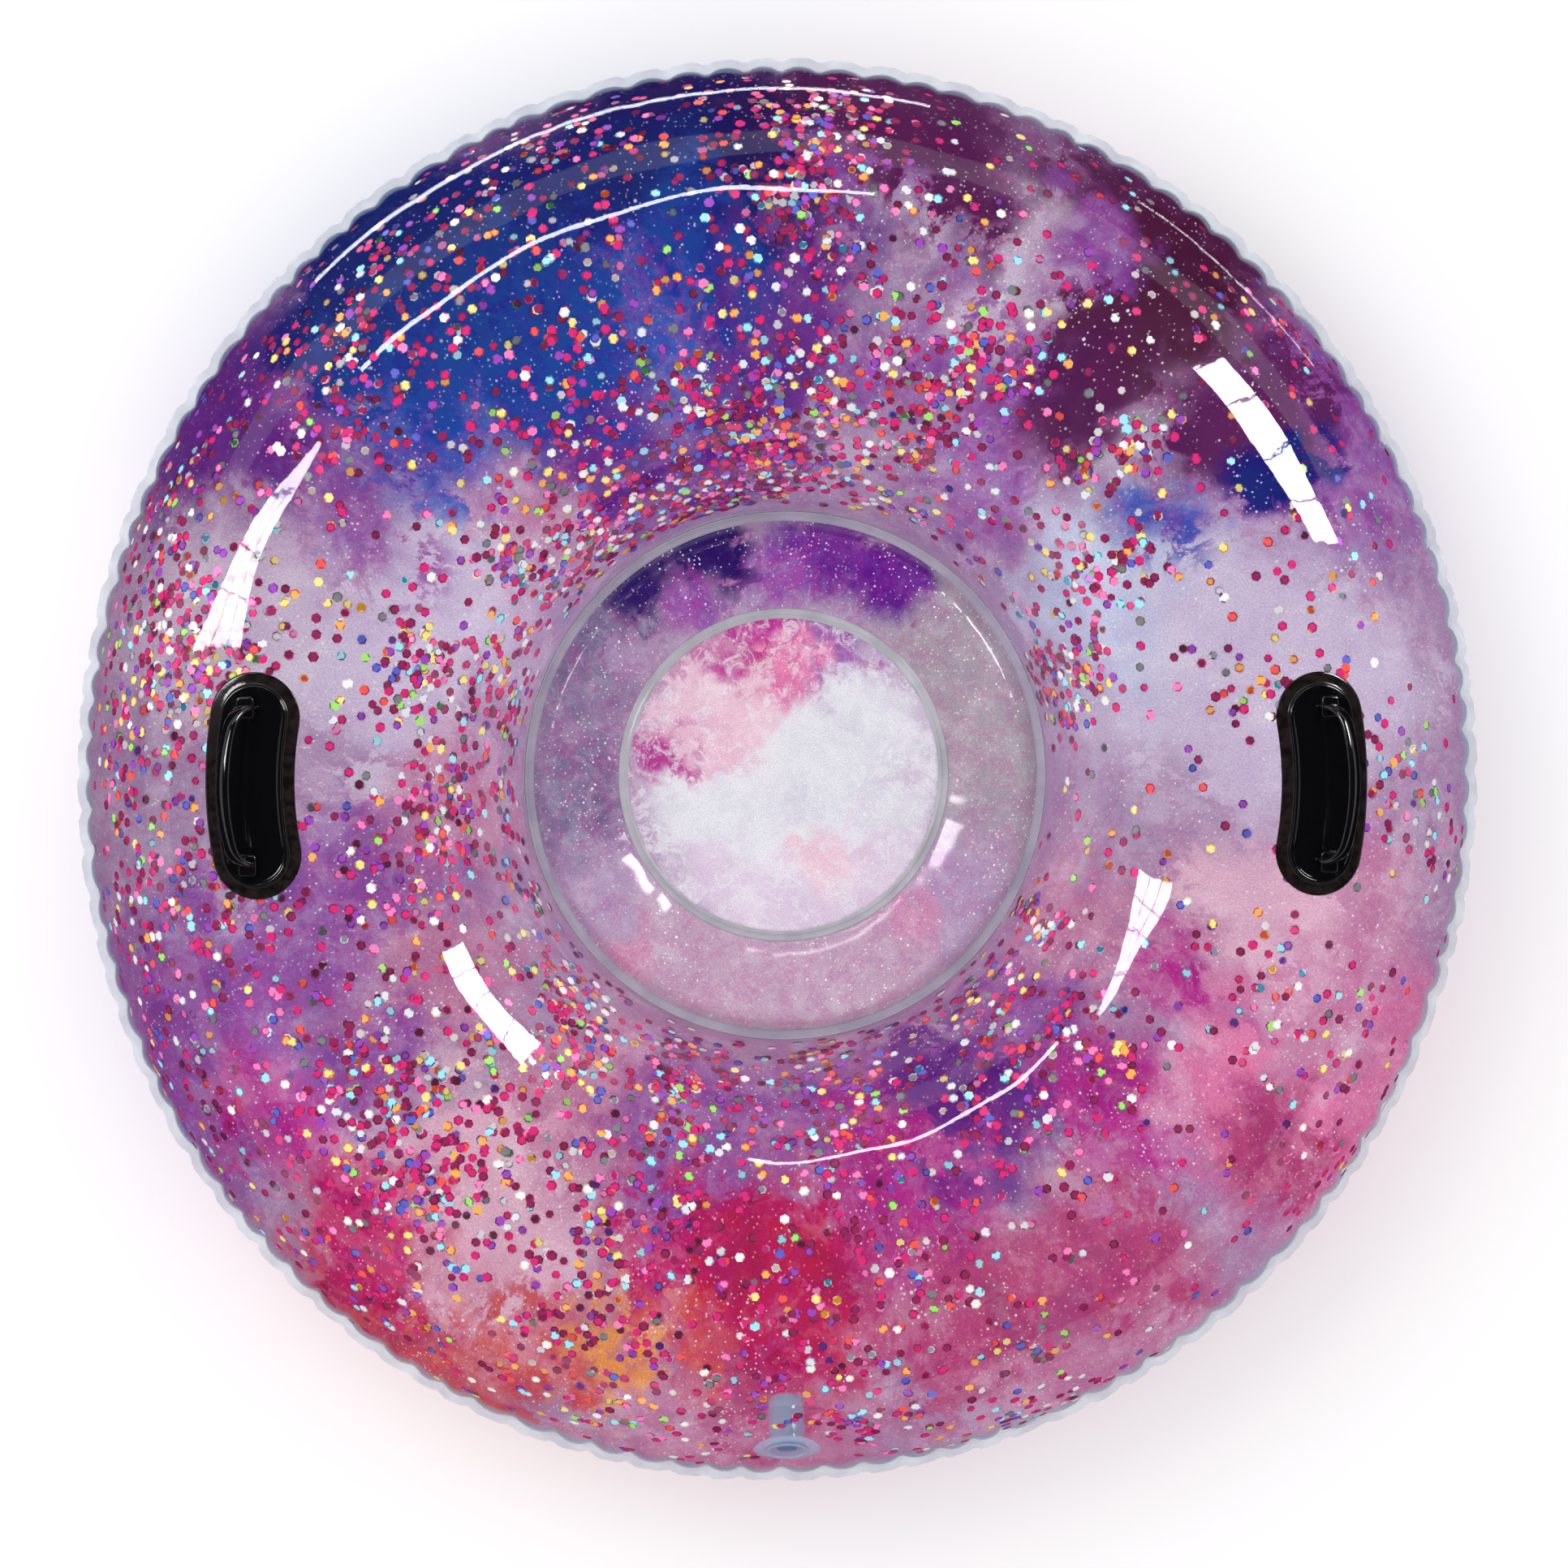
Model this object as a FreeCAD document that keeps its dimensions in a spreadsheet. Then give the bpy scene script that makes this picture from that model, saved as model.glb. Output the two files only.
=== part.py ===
import FreeCAD, Part
import math
import os
import random

import Sketcher

# Inflatable pool float: a clear-topped tube with loose glitter, a printed floor cushion in its bore,
# two moulded handles and two inflation valves. It lies flat: +Z up, origin under its centre, valve towards -Y.

Vector = FreeCAD.Vector
Rotation = FreeCAD.Rotation
Placement = FreeCAD.Placement

doc = FreeCAD.newDocument("PoolFloat")
sheet = doc.addObject("Spreadsheet::Sheet", "Dims")

DRIVING = {
    # tube
    "tube_centre_radius": 332.5,
    "tube_half_width": 150.5,
    "tube_half_height": 140,
    "skin_thickness": 0.6,
    "rest_band_half_width": 10,
    # welded seams
    "weld_thickness": 1.0,
    "seam_edge_radius": 490,
    "scallop_depth": 3,
    "scallop_count": 110,
    "bore_weld_outer_radius": 184,
    "bore_weld_inner_radius": 173,
    # floor cushion and centre panel
    "floor_outer_radius": 175.5,
    "floor_inner_radius": 115.5,
    "floor_bulge": 16,
    "inner_weld_outer_radius": 117,
    "inner_weld_inner_radius": 106,
    "inner_weld_lap_radius": 110,
    "panel_radius": 109.5,
    "panel_thickness": 0.8,
    "weld_lap_thickness": 1.1,
    # handles
    "handle_radius": 352,
    "handle_bend_radius": 250,
    "handle_half_width": 29.5,
    "handle_half_length": 74.5,
    "handle_border": 8.5,
    "handle_ridge_width": 2,
    "handle_flange_thickness": 1.2,
    "handle_pad_thickness": 3,
    "handle_ridge_height": 4.5,
    "lug_height": 10,
    "lug_half_width": 5.6,
    "lug_half_length": 7,
    "lug_offset": 51,
    "grip_end_radius": 18,
    "grip_end_angle": 18,
    "grip_tilt": 50,
    "grip_half_width": 5,
    "grip_half_thickness": 2.75,
    "grip_sink": 4.5,
    "surface_gap": 0.3,
    # valves, at the tube valve's size
    "valve_tilt": 34,
    "valve_datum": 45,
    "valve_flange_radius": 23,
    "valve_flange_thickness": 1.2,
    "valve_collar_width": 2.6,
    "valve_collar_height": 2.4,
    "valve_sleeve_radius": 12.25,
    "valve_sleeve_wall": 0.9,
    "valve_sleeve_depth": 34,
    "valve_stem_radius": 6,
    "valve_stem_wall": 1.3,
    "valve_stem_clearance": 0.4,
    "valve_stem_reach": 0.7,
    "valve_rim_radius": 8,
    "valve_rim_thickness": 1.5,
    "valve_cap_radius": 7.4,
    "valve_cap_thickness": 2,
    "valve_cap_recess": 0.5,
    "valve_shank_length": 9,
    "valve_fit_gap": 0.3,
    "valve_flap_thickness": 0.8,
    "valve_flap_radius": 5.4,
    "valve_strap_inner_radius": 8.6,
    "valve_strap_width": 1.6,
    "strap_gap": 0.05,
    "strap_half_angle": 80,
    "strap_tab_half_angle": 9,
    "valve_hole_reach": 20,
    "floor_valve_scale": 0.6,
    "floor_valve_radius": 145.5,
    # glitter
    "glitter_corner_radius": 3.5,
    "glitter_thickness": 0.4,
    "glitter_skin_gap": 0.8,
    "glitter_spacing": 9.1,
    "glitter_count": 180,
    "glitter_weld_angle": 25,
    "glitter_valve_angle": 14,
}

DERIVED = {
    "tube_arc_radius": "(tube_half_width ^ 2 + tube_half_height ^ 2) / (2 * tube_half_height)",
    "tube_arc_drop": "tube_arc_radius - tube_half_height",
    "tube_inner_arc_radius": "tube_arc_radius - skin_thickness",
    "seam_height": "sqrt(tube_arc_radius ^ 2 - rest_band_half_width ^ 2) - tube_arc_drop",
    "weld_top": "seam_height + weld_thickness / 2",
    "weld_bottom": "seam_height - weld_thickness / 2",
    "top_arc_height": "seam_height - tube_arc_drop",
    "base_arc_height": "seam_height + tube_arc_drop",
    "seam_root_radius": "tube_centre_radius + tube_half_width - skin_thickness",
    "floor_centre_radius": "(floor_outer_radius + floor_inner_radius) / 2",
    "floor_half_width": "(floor_outer_radius - floor_inner_radius) / 2",
    "floor_arc_radius": "(floor_half_width ^ 2 + floor_bulge ^ 2) / (2 * floor_bulge)",
    "floor_inner_arc_radius": "floor_arc_radius - skin_thickness",
    "floor_top_arc_height": "weld_top + floor_bulge - floor_arc_radius",
    "floor_base_arc_height": "weld_bottom - floor_bulge + floor_arc_radius",
    "panel_top": "seam_height + panel_thickness / 2",
    "panel_bottom": "seam_height - panel_thickness / 2",
    "handle_lobe_angle": "180 / pi * (handle_half_length - handle_half_width) / handle_bend_radius",
    "handle_bend_centre": "handle_radius - handle_bend_radius",
    "valve_centre_radius": "tube_centre_radius + tube_arc_radius * cos(valve_tilt * 1 deg)",
    "valve_centre_height": "top_arc_height + tube_arc_radius * sin(valve_tilt * 1 deg)",
    "floor_valve_height": "weld_bottom - floor_bulge",
}

VALVE_SCALES = {"ring_valve": "1", "floor_valve": "floor_valve_scale"}
VALVE_DERIVED = {
    "datum": "valve_datum * {k}",
    "flange_radius": "valve_flange_radius * {k}",
    "sleeve_radius": "valve_sleeve_radius * {k}",
    "sleeve_bore": "valve_sleeve_radius * {k} - valve_sleeve_wall",
    "web_top": "(valve_datum - valve_sleeve_depth) * {k}",
    "web_bottom": "(valve_datum - valve_sleeve_depth) * {k} - valve_sleeve_wall",
    "stem_foot": "(valve_datum - valve_sleeve_depth) * {k} - valve_sleeve_wall - valve_stem_reach",
    "stem_radius": "valve_stem_radius * {k}",
    "stem_bore": "valve_stem_radius * {k} - valve_stem_wall",
    "web_hole": "valve_stem_radius * {k} + valve_stem_clearance",
    "rim_radius": "valve_rim_radius * {k}",
    "cap_top": "valve_datum * {k} - valve_cap_recess",
    "cap_bottom": "valve_datum * {k} - valve_cap_recess - valve_cap_thickness",
    "rim_bottom": "valve_datum * {k} - valve_cap_recess - valve_cap_thickness - valve_rim_thickness",
    "cap_radius": "valve_cap_radius * {k}",
    "shank_radius": "valve_stem_radius * {k} - valve_stem_wall - valve_fit_gap",
    "shank_foot": "valve_datum * {k} - valve_cap_recess - valve_cap_thickness - valve_shank_length * {k}",
    "flap_radius": "valve_flap_radius * {k}",
    "flap_foot": "(valve_datum - valve_sleeve_depth) * {k} - valve_sleeve_wall - valve_stem_reach"
    " - valve_flap_thickness",
    "strap_inner": "valve_strap_inner_radius * {k}",
    "strap_outer": "valve_strap_inner_radius * {k} + valve_strap_width * {k}",
}

row = 1
for alias, number in DRIVING.items():
    sheet.set("A%d" % row, alias)
    sheet.set("B%d" % row, str(number))
    sheet.setAlias("B%d" % row, alias)
    row += 1
doc.recompute()
for prefix, scale in VALVE_SCALES.items():
    for suffix, formula in VALVE_DERIVED.items():
        DERIVED[prefix + "_" + suffix] = formula.format(k=scale)
for alias, formula in DERIVED.items():
    sheet.set("A%d" % row, alias)
    sheet.set("B%d" % row, "=" + formula)
    sheet.setAlias("B%d" % row, alias)
    row += 1
doc.recompute()


def size(alias):
    """The number that a named cell holds."""
    found = sheet.get(alias)
    return float(getattr(found, "Value", found))


def drive(obj, path, alias):
    """Ties a property of an object to a named cell."""
    obj.setExpression(path, "Dims." + alias)


def new_sketch(body, name, role):
    sketch = body.newObject("Sketcher::SketchObject", name)
    plane = [f for f in body.Origin.OriginFeatures if f.Role == role][0]
    sketch.AttachmentSupport = [(plane, "")]
    sketch.MapMode = "FlatFace"
    return sketch


def bound(sketch, alias, kind, *where):
    """Adds a dimension to a sketch and ties it to a named cell."""
    index = sketch.addConstraint(Sketcher.Constraint(kind, *where, size(alias)))
    drive(sketch, "Constraints[%d]" % index, alias)


def join(sketch, first, first_end, second, second_end):
    sketch.addConstraint(Sketcher.Constraint("Coincident", first, first_end, second, second_end))


def revolve(body, sketch, name):
    turned = body.newObject("PartDesign::Revolution", name)
    turned.Profile = sketch
    turned.ReferenceAxis = (sketch, ["V_Axis"])
    turned.Angle = 360
    sketch.Visibility = False
    return turned


def turned_body(label, corners):
    """A body turned about Z from a closed outline; each corner is a pair of cell names, radius then height.
    A radius of None lies on the axis."""
    body = doc.addObject("PartDesign::Body", label)
    sketch = new_sketch(body, label + "_outline", "XZ_Plane")
    points = [Vector(0 if r is None else size(r), size(z), 0) for r, z in corners]
    count = len(points)
    for i in range(count):
        sketch.addGeometry(Part.LineSegment(points[i], points[(i + 1) % count]), False)
    for i in range(count):
        join(sketch, i, 2, (i + 1) % count, 1)
    for i, (radius, height) in enumerate(corners):
        if radius is None:
            sketch.addConstraint(Sketcher.Constraint("PointOnObject", i, 1, -2))
        else:
            bound(sketch, radius, "DistanceX", -1, 1, i, 1)
        bound(sketch, height, "DistanceY", -1, 1, i, 1)
    revolve(body, sketch, label + "_turned")
    return body


def arc(centre, radius, start, end):
    return Part.ArcOfCircle(Part.Circle(centre, Vector(0, 0, 1), radius), start, end)


def tie_arc(sketch, index, centre_radius, centre_height, radius):
    bound(sketch, centre_radius, "DistanceX", -1, 1, index, 3)
    bound(sketch, centre_height, "DistanceY", -1, 1, index, 3)
    bound(sketch, radius, "Radius", index)


def arched_sheet(label, centre_radius, centre_height, outer, inner, edge_height, upward):
    """A skin turned about Z whose section is one arch that stands on, or hangs from, its weld."""
    body = doc.addObject("PartDesign::Body", label)
    sketch = new_sketch(body, label + "_section", "XZ_Plane")
    centre = Vector(size(centre_radius), size(centre_height), 0)
    rise = size(edge_height) - size(centre_height)
    for name in (outer, inner):
        slant = math.asin(rise / size(name))
        if upward:
            sketch.addGeometry(arc(centre, size(name), slant, math.pi - slant), False)
        else:
            sketch.addGeometry(arc(centre, size(name), math.pi - slant, 2 * math.pi + slant), False)
    for end in (1, 2):
        first = sketch.getPoint(0, end)
        second = sketch.getPoint(1, end)
        line = sketch.addGeometry(Part.LineSegment(first, second), False)
        join(sketch, line, 1, 0, end)
        join(sketch, line, 2, 1, end)
        sketch.addConstraint(Sketcher.Constraint("Horizontal", line))
        bound(sketch, edge_height, "DistanceY", -1, 1, 0, end)
    tie_arc(sketch, 0, centre_radius, centre_height, outer)
    join(sketch, 1, 3, 0, 3)
    bound(sketch, inner, "Radius", 1)
    revolve(body, sketch, label + "_turned")
    return body


def base_skin(label):
    """The tube's lower skin: two arcs down from the welds to a narrow flat band that it rests on."""
    body = doc.addObject("PartDesign::Body", label)
    sketch = new_sketch(body, label + "_section", "XZ_Plane")
    centre = Vector(size("tube_centre_radius"), size("base_arc_height"), 0)
    floors = {"tube_arc_radius": 0, "tube_inner_arc_radius": size("skin_thickness")}
    edge_drop = size("base_arc_height") - size("weld_bottom")
    for radius, level in floors.items():
        edge = math.asin(edge_drop / size(radius))
        foot = math.asin((centre.y - level) / size(radius))
        left = sketch.addGeometry(arc(centre, size(radius), math.pi + edge, math.pi + foot), False)
        right = sketch.addGeometry(
            arc(centre, size(radius), 2 * math.pi - foot, 2 * math.pi - edge), False
        )
        flat = sketch.addGeometry(
            Part.LineSegment(sketch.getPoint(left, 2), sketch.getPoint(right, 1)), False
        )
        join(sketch, flat, 1, left, 2)
        join(sketch, flat, 2, right, 1)
        for side in (left, right):
            tie_arc(sketch, side, "tube_centre_radius", "base_arc_height", radius)
        bound(sketch, "weld_bottom", "DistanceY", -1, 1, left, 1)
        bound(sketch, "weld_bottom", "DistanceY", -1, 1, right, 2)
        sketch.addConstraint(Sketcher.Constraint("Horizontal", flat))
        if level:
            bound(sketch, "skin_thickness", "DistanceY", -1, 1, flat, 1)
        else:
            sketch.addConstraint(Sketcher.Constraint("PointOnObject", flat, 1, -1))
    for outer_arc, inner_arc, end in ((0, 3, 1), (1, 4, 2)):
        edge = sketch.addGeometry(
            Part.LineSegment(sketch.getPoint(outer_arc, end), sketch.getPoint(inner_arc, end)), False
        )
        join(sketch, edge, 1, outer_arc, end)
        join(sketch, edge, 2, inner_arc, end)
    revolve(body, sketch, label + "_turned")
    return body


def valve_hole(body, radius_alias, support, height_path, depth):
    """Cuts a round hole for a valve sleeve through a skin."""
    sketch = new_sketch(body, body.Name + "_hole_circle", support)
    sketch.addGeometry(Part.Circle(Vector(0, 0, 0), Vector(0, 0, 1), size(radius_alias)), False)
    sketch.addConstraint(Sketcher.Constraint("Coincident", 0, 3, -1, 1))
    bound(sketch, radius_alias, "Radius", 0)
    sketch.AttachmentOffset = height_path
    pocket = body.newObject("PartDesign::Pocket", body.Name + "_hole")
    pocket.Profile = sketch
    pocket.Length = depth
    sketch.Visibility = False
    return sketch, pocket


# cells for the holes that the valve sleeves pass through
for prefix in VALVE_SCALES:
    sheet.set("A%d" % row, prefix + "_hole_radius")
    sheet.set("B%d" % row, "=%s_sleeve_radius + surface_gap" % prefix)
    sheet.setAlias("B%d" % row, prefix + "_hole_radius")
    row += 1
doc.recompute()

nodes = []

# ---- tube skins
top_skin = arched_sheet(
    "ring_top_skin",
    "tube_centre_radius",
    "top_arc_height",
    "tube_arc_radius",
    "tube_inner_arc_radius",
    "weld_top",
    True,
)
tilt = size("valve_tilt")
outward = Vector(0, -math.cos(math.radians(tilt)), math.sin(math.radians(tilt)))
valve_point = Vector(0, -size("valve_centre_radius"), size("valve_centre_height"))
hole_reach = size("valve_hole_reach")
hole_start = valve_point + outward * hole_reach
# the XZ plane's own axes are X, Z and -Y
hole_sketch, hole = valve_hole(
    top_skin,
    "ring_valve_hole_radius",
    "XZ_Plane",
    Placement(Vector(0, hole_start.z, -hole_start.y), Rotation(Vector(-1, 0, 0), tilt)),
    2 * hole_reach,
)
hole_sketch.setExpression(
    "AttachmentOffset.Base.y",
    "Dims.valve_centre_height + Dims.valve_hole_reach * sin(Dims.valve_tilt * 1 deg)",
)
hole_sketch.setExpression(
    "AttachmentOffset.Base.z",
    "Dims.valve_centre_radius + Dims.valve_hole_reach * cos(Dims.valve_tilt * 1 deg)",
)
nodes.append(top_skin)
nodes.append(base_skin("ring_base_skin"))

# ---- outer weld, with one rounded scallop per pucker
seam = doc.addObject("PartDesign::Body", "outer_seam_flange")
seam_sketch = new_sketch(seam, "outer_seam_outline", "XY_Plane")
scallops = int(size("scallop_count"))
crest = size("seam_edge_radius")
valley = crest - size("scallop_depth")
pitch = 2 * math.pi / scallops
for i in range(scallops):
    bearings = (i * pitch, (i + 0.5) * pitch, (i + 1) * pitch)
    ends = [
        Vector(radius * math.cos(bearing), radius * math.sin(bearing), 0)
        for radius, bearing in zip((valley, crest, valley), bearings)
    ]
    seam_sketch.addGeometry(Part.Arc(*ends), False)
seam_sketch.addGeometry(
    Part.Circle(Vector(0, 0, 0), Vector(0, 0, 1), size("seam_root_radius")), False
)
bound(seam_sketch, "seam_root_radius", "Radius", scallops)
drive(seam_sketch, "AttachmentOffset.Base.z", "weld_bottom")
seam_pad = seam.newObject("PartDesign::Pad", "outer_seam_pad")
seam_pad.Profile = seam_sketch
drive(seam_pad, "Length", "weld_thickness")
seam_sketch.Visibility = False
nodes.append(seam)

# ---- bore weld, floor cushion, inner weld and centre panel
nodes.append(
    turned_body(
        "bore_seam_band",
        [
            ("bore_weld_inner_radius", "weld_bottom"),
            ("bore_weld_outer_radius", "weld_bottom"),
            ("bore_weld_outer_radius", "weld_top"),
            ("bore_weld_inner_radius", "weld_top"),
        ],
    )
)
floor_shape = ("floor_centre_radius", "floor_arc_radius", "floor_inner_arc_radius")
nodes.append(
    arched_sheet(
        "floor_top_sheet",
        floor_shape[0],
        "floor_top_arc_height",
        floor_shape[1],
        floor_shape[2],
        "weld_top",
        True,
    )
)
floor_base = arched_sheet(
    "floor_base_sheet",
    floor_shape[0],
    "floor_base_arc_height",
    floor_shape[1],
    floor_shape[2],
    "weld_bottom",
    False,
)
floor_hole_sketch, floor_hole = valve_hole(
    floor_base,
    "floor_valve_hole_radius",
    "XY_Plane",
    Placement(
        Vector(0, size("floor_valve_radius"), size("floor_valve_height") - size("floor_bulge")),
        Rotation(),
    ),
    size("floor_bulge") * 1.5,
)
floor_hole.Reversed = True
drive(floor_hole_sketch, "AttachmentOffset.Base.y", "floor_valve_radius")
nodes.append(floor_base)
nodes.append(
    turned_body(
        "floor_inner_weld",
        [
            ("inner_weld_inner_radius", "panel_top"),
            ("inner_weld_lap_radius", "panel_top"),
            ("inner_weld_lap_radius", "weld_bottom"),
            ("inner_weld_outer_radius", "weld_bottom"),
            ("inner_weld_outer_radius", "weld_top"),
            ("inner_weld_inner_radius", "weld_top"),
        ],
    )
)
nodes.append(
    turned_body(
        "floor_centre_panel",
        [
            (None, "panel_bottom"),
            ("panel_radius", "panel_bottom"),
            ("panel_radius", "panel_top"),
            (None, "panel_top"),
        ],
    )
)


# ---- pieces that lie on a curved skin
def shell(name, centre_radius, centre_height, skin_radius, thickness):
    """A layer that lies a small gap over a skin whose section is an arc, as a cut of two tori."""
    foot = "Dims.%s + Dims.surface_gap" % skin_radius
    tori = []
    for suffix, formula in (("outer", "%s + Dims.%s" % (foot, thickness)), ("inner", foot)):
        torus = doc.addObject("Part::Torus", name + "_" + suffix)
        torus.setExpression("Radius1", "Dims." + centre_radius)
        torus.setExpression("Radius2", formula)
        drive(torus, "Placement.Base.z", centre_height)
        tori.append(torus)
    cut = doc.addObject("Part::Cut", name)
    cut.Base, cut.Tool = tori
    return cut


def bent_outline(name, inset_alias_a=None, inset_alias_b=None):
    """The plan of a handle: a stadium bent along an arc, drawn in by up to two cells' worth."""
    sketch = doc.addObject("Sketcher::SketchObject", name)
    inset = sum(size(a) for a in (inset_alias_a, inset_alias_b) if a)
    formula = "Dims.handle_half_width"
    for alias_name in (inset_alias_a, inset_alias_b):
        if alias_name:
            formula += " - Dims." + alias_name
    half = size("handle_half_width") - inset
    bend = size("handle_bend_radius")
    lobe = math.radians(size("handle_lobe_angle"))
    centre = Vector(size("handle_bend_centre"), 0, 0)
    low = centre + Vector(bend * math.cos(lobe), -bend * math.sin(lobe), 0)
    high = centre + Vector(bend * math.cos(lobe), bend * math.sin(lobe), 0)
    sketch.addGeometry(arc(centre, bend + half, -lobe, lobe), False)
    sketch.addGeometry(arc(high, half, lobe, math.pi + lobe), False)
    sketch.addGeometry(arc(centre, bend - half, -lobe, lobe), False)
    sketch.addGeometry(arc(low, half, math.pi - lobe, 2 * math.pi - lobe), False)
    sketch.addConstraint(Sketcher.Constraint("Tangent", 0, 2, 1, 1))
    sketch.addConstraint(Sketcher.Constraint("Tangent", 1, 2, 2, 2))
    sketch.addConstraint(Sketcher.Constraint("Tangent", 2, 1, 3, 1))
    sketch.addConstraint(Sketcher.Constraint("Tangent", 3, 2, 0, 1))
    sketch.addConstraint(Sketcher.Constraint("Coincident", 0, 3, 2, 3))
    bound(sketch, "handle_bend_centre", "DistanceX", -1, 1, 0, 3)
    sketch.addConstraint(Sketcher.Constraint("PointOnObject", 0, 3, -1))
    index = sketch.addConstraint(Sketcher.Constraint("Radius", 1, half))
    sketch.setExpression("Constraints[%d]" % index, formula)
    index = sketch.addConstraint(Sketcher.Constraint("Radius", 0, bend + half))
    sketch.setExpression("Constraints[%d]" % index, "Dims.handle_bend_radius + " + formula)
    index = sketch.addConstraint(Sketcher.Constraint("DistanceY", -1, 1, 1, 3, high.y))
    sketch.setExpression(
        "Constraints[%d]" % index,
        "Dims.handle_bend_radius * sin(Dims.handle_lobe_angle * 1 deg)",
    )
    prism = doc.addObject("Part::Extrusion", name + "_prism")
    prism.Base = sketch
    prism.DirMode = "Custom"
    prism.Dir = Vector(0, 0, 1)
    prism.LengthFwd = 4 * size("tube_half_height")
    prism.Solid = True
    return prism


def common(name, first, second):
    both = doc.addObject("Part::MultiCommon", name)
    both.Shapes = [first, second]
    return both


tube = ("tube_centre_radius", "top_arc_height", "tube_arc_radius")
flange_piece = common(
    "handle_flange",
    shell("handle_flange_shell", *tube, "handle_flange_thickness"),
    bent_outline("handle_plan"),
)
pad_piece = common(
    "handle_pad",
    shell("handle_pad_shell", *tube, "handle_pad_thickness"),
    bent_outline("handle_pad_plan", "handle_border"),
)
ridge_shell = shell("handle_ridge_shell", *tube, "handle_ridge_height")
ridge_frame = doc.addObject("Part::Cut", "handle_ridge_frame")
ridge_frame.Base = bent_outline("handle_ridge_plan", "handle_border")
ridge_frame.Tool = bent_outline("handle_ridge_hollow", "handle_border", "handle_ridge_width")
ridge_piece = common("handle_ridge", ridge_shell, ridge_frame)

lug_shell = shell("handle_lug_shell", *tube, "lug_height")
lug_pieces = []
for side, sign in (("low", -1), ("high", 1)):
    block = doc.addObject("Part::Box", "handle_lug_block_" + side)
    block.setExpression("Length", "2 * Dims.lug_half_width")
    block.setExpression("Width", "2 * Dims.lug_half_length")
    block.setExpression("Height", "4 * Dims.tube_half_height")
    block.setExpression("Placement.Base.x", "Dims.handle_radius - Dims.lug_half_width")
    block.setExpression("Placement.Base.y", "%d * Dims.lug_offset - Dims.lug_half_length" % sign)
    lug_pieces.append(common("handle_lug_" + side, lug_shell, block))

# the grip bar bows outboard and up between the lugs
lug_reach = math.hypot(size("handle_radius"), size("lug_offset")) - size("tube_centre_radius")
lug_top = size("top_arc_height") + math.sqrt(
    (size("tube_arc_radius") + size("surface_gap") + size("lug_height")) ** 2 - lug_reach**2
)
grip_base = Vector(size("handle_radius"), 0, lug_top - size("grip_sink"))
bow = math.radians(size("grip_tilt"))
bow_direction = Vector(math.cos(bow), 0, math.sin(bow))
end_radius = size("grip_end_radius")
end_angle = math.radians(size("grip_end_angle"))
half_span = size("lug_offset")
knee = Vector(
    half_span - end_radius + end_radius * math.sin(end_angle), end_radius * math.cos(end_angle), 0
)
crown_radius = knee.x / math.sin(end_angle)
crown_centre = Vector(0, knee.y - crown_radius * math.cos(end_angle), 0)
grip_path = doc.addObject("Sketcher::SketchObject", "grip_path")
grip_path.addGeometry(
    arc(
        Vector(half_span - end_radius, 0, 0),
        end_radius,
        0,
        math.pi / 2 - end_angle,
    ),
    False,
)
grip_path.addGeometry(
    arc(crown_centre, crown_radius, math.pi / 2 - end_angle, math.pi / 2 + end_angle), False
)
grip_path.addGeometry(
    arc(
        Vector(end_radius - half_span, 0, 0),
        end_radius,
        math.pi / 2 + end_angle,
        math.pi,
    ),
    False,
)
join(grip_path, 0, 2, 1, 1)
join(grip_path, 1, 2, 2, 1)
along = Vector(0, 1, 0)
grip_frame = Rotation(along, bow_direction, along.cross(bow_direction), "ZXY")
grip_path.Placement = Placement(grip_base, grip_frame)
grip_section = doc.addObject("Part::Ellipse", "grip_section")
drive(grip_section, "MajorRadius", "grip_half_width")
drive(grip_section, "MinorRadius", "grip_half_thickness")
section_frame = Rotation(along.cross(bow_direction), along, bow_direction, "ZXY")
grip_section.Placement = Placement(grip_base + along * half_span, section_frame)
grip = doc.addObject("Part::Sweep", "grip_bar")
grip.Sections = [grip_section]
grip.Spine = (grip_path, ["Edge1", "Edge2", "Edge3"])
grip.Solid = True
grip.Frenet = False

handle_right = doc.addObject("Part::MultiFuse", "handle_right")
handle_right.Shapes = [flange_piece, pad_piece, ridge_piece, *lug_pieces, grip]
handle_left = doc.addObject("Part::Mirroring", "handle_left")
handle_left.Source = handle_right
handle_left.Normal = Vector(1, 0, 0)
nodes += [handle_left, handle_right]


# ---- valves: flange and sleeve, stem, plug, strap and one-way flap, each about the valve's own axis
def cylinder(name, radius_formula, foot_formula, height_formula, frame):
    """A round bar about a valve's axis, from a foot that is measured along it."""
    bar = doc.addObject("Part::Cylinder", name)
    bar.setExpression("Radius", radius_formula)
    bar.setExpression("Height", height_formula)
    doc.recompute()
    foot = float(sheet.evalExpression(foot_formula))
    bar.Placement = frame.multiply(Placement(Vector(0, 0, foot), Rotation()))
    return bar


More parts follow.
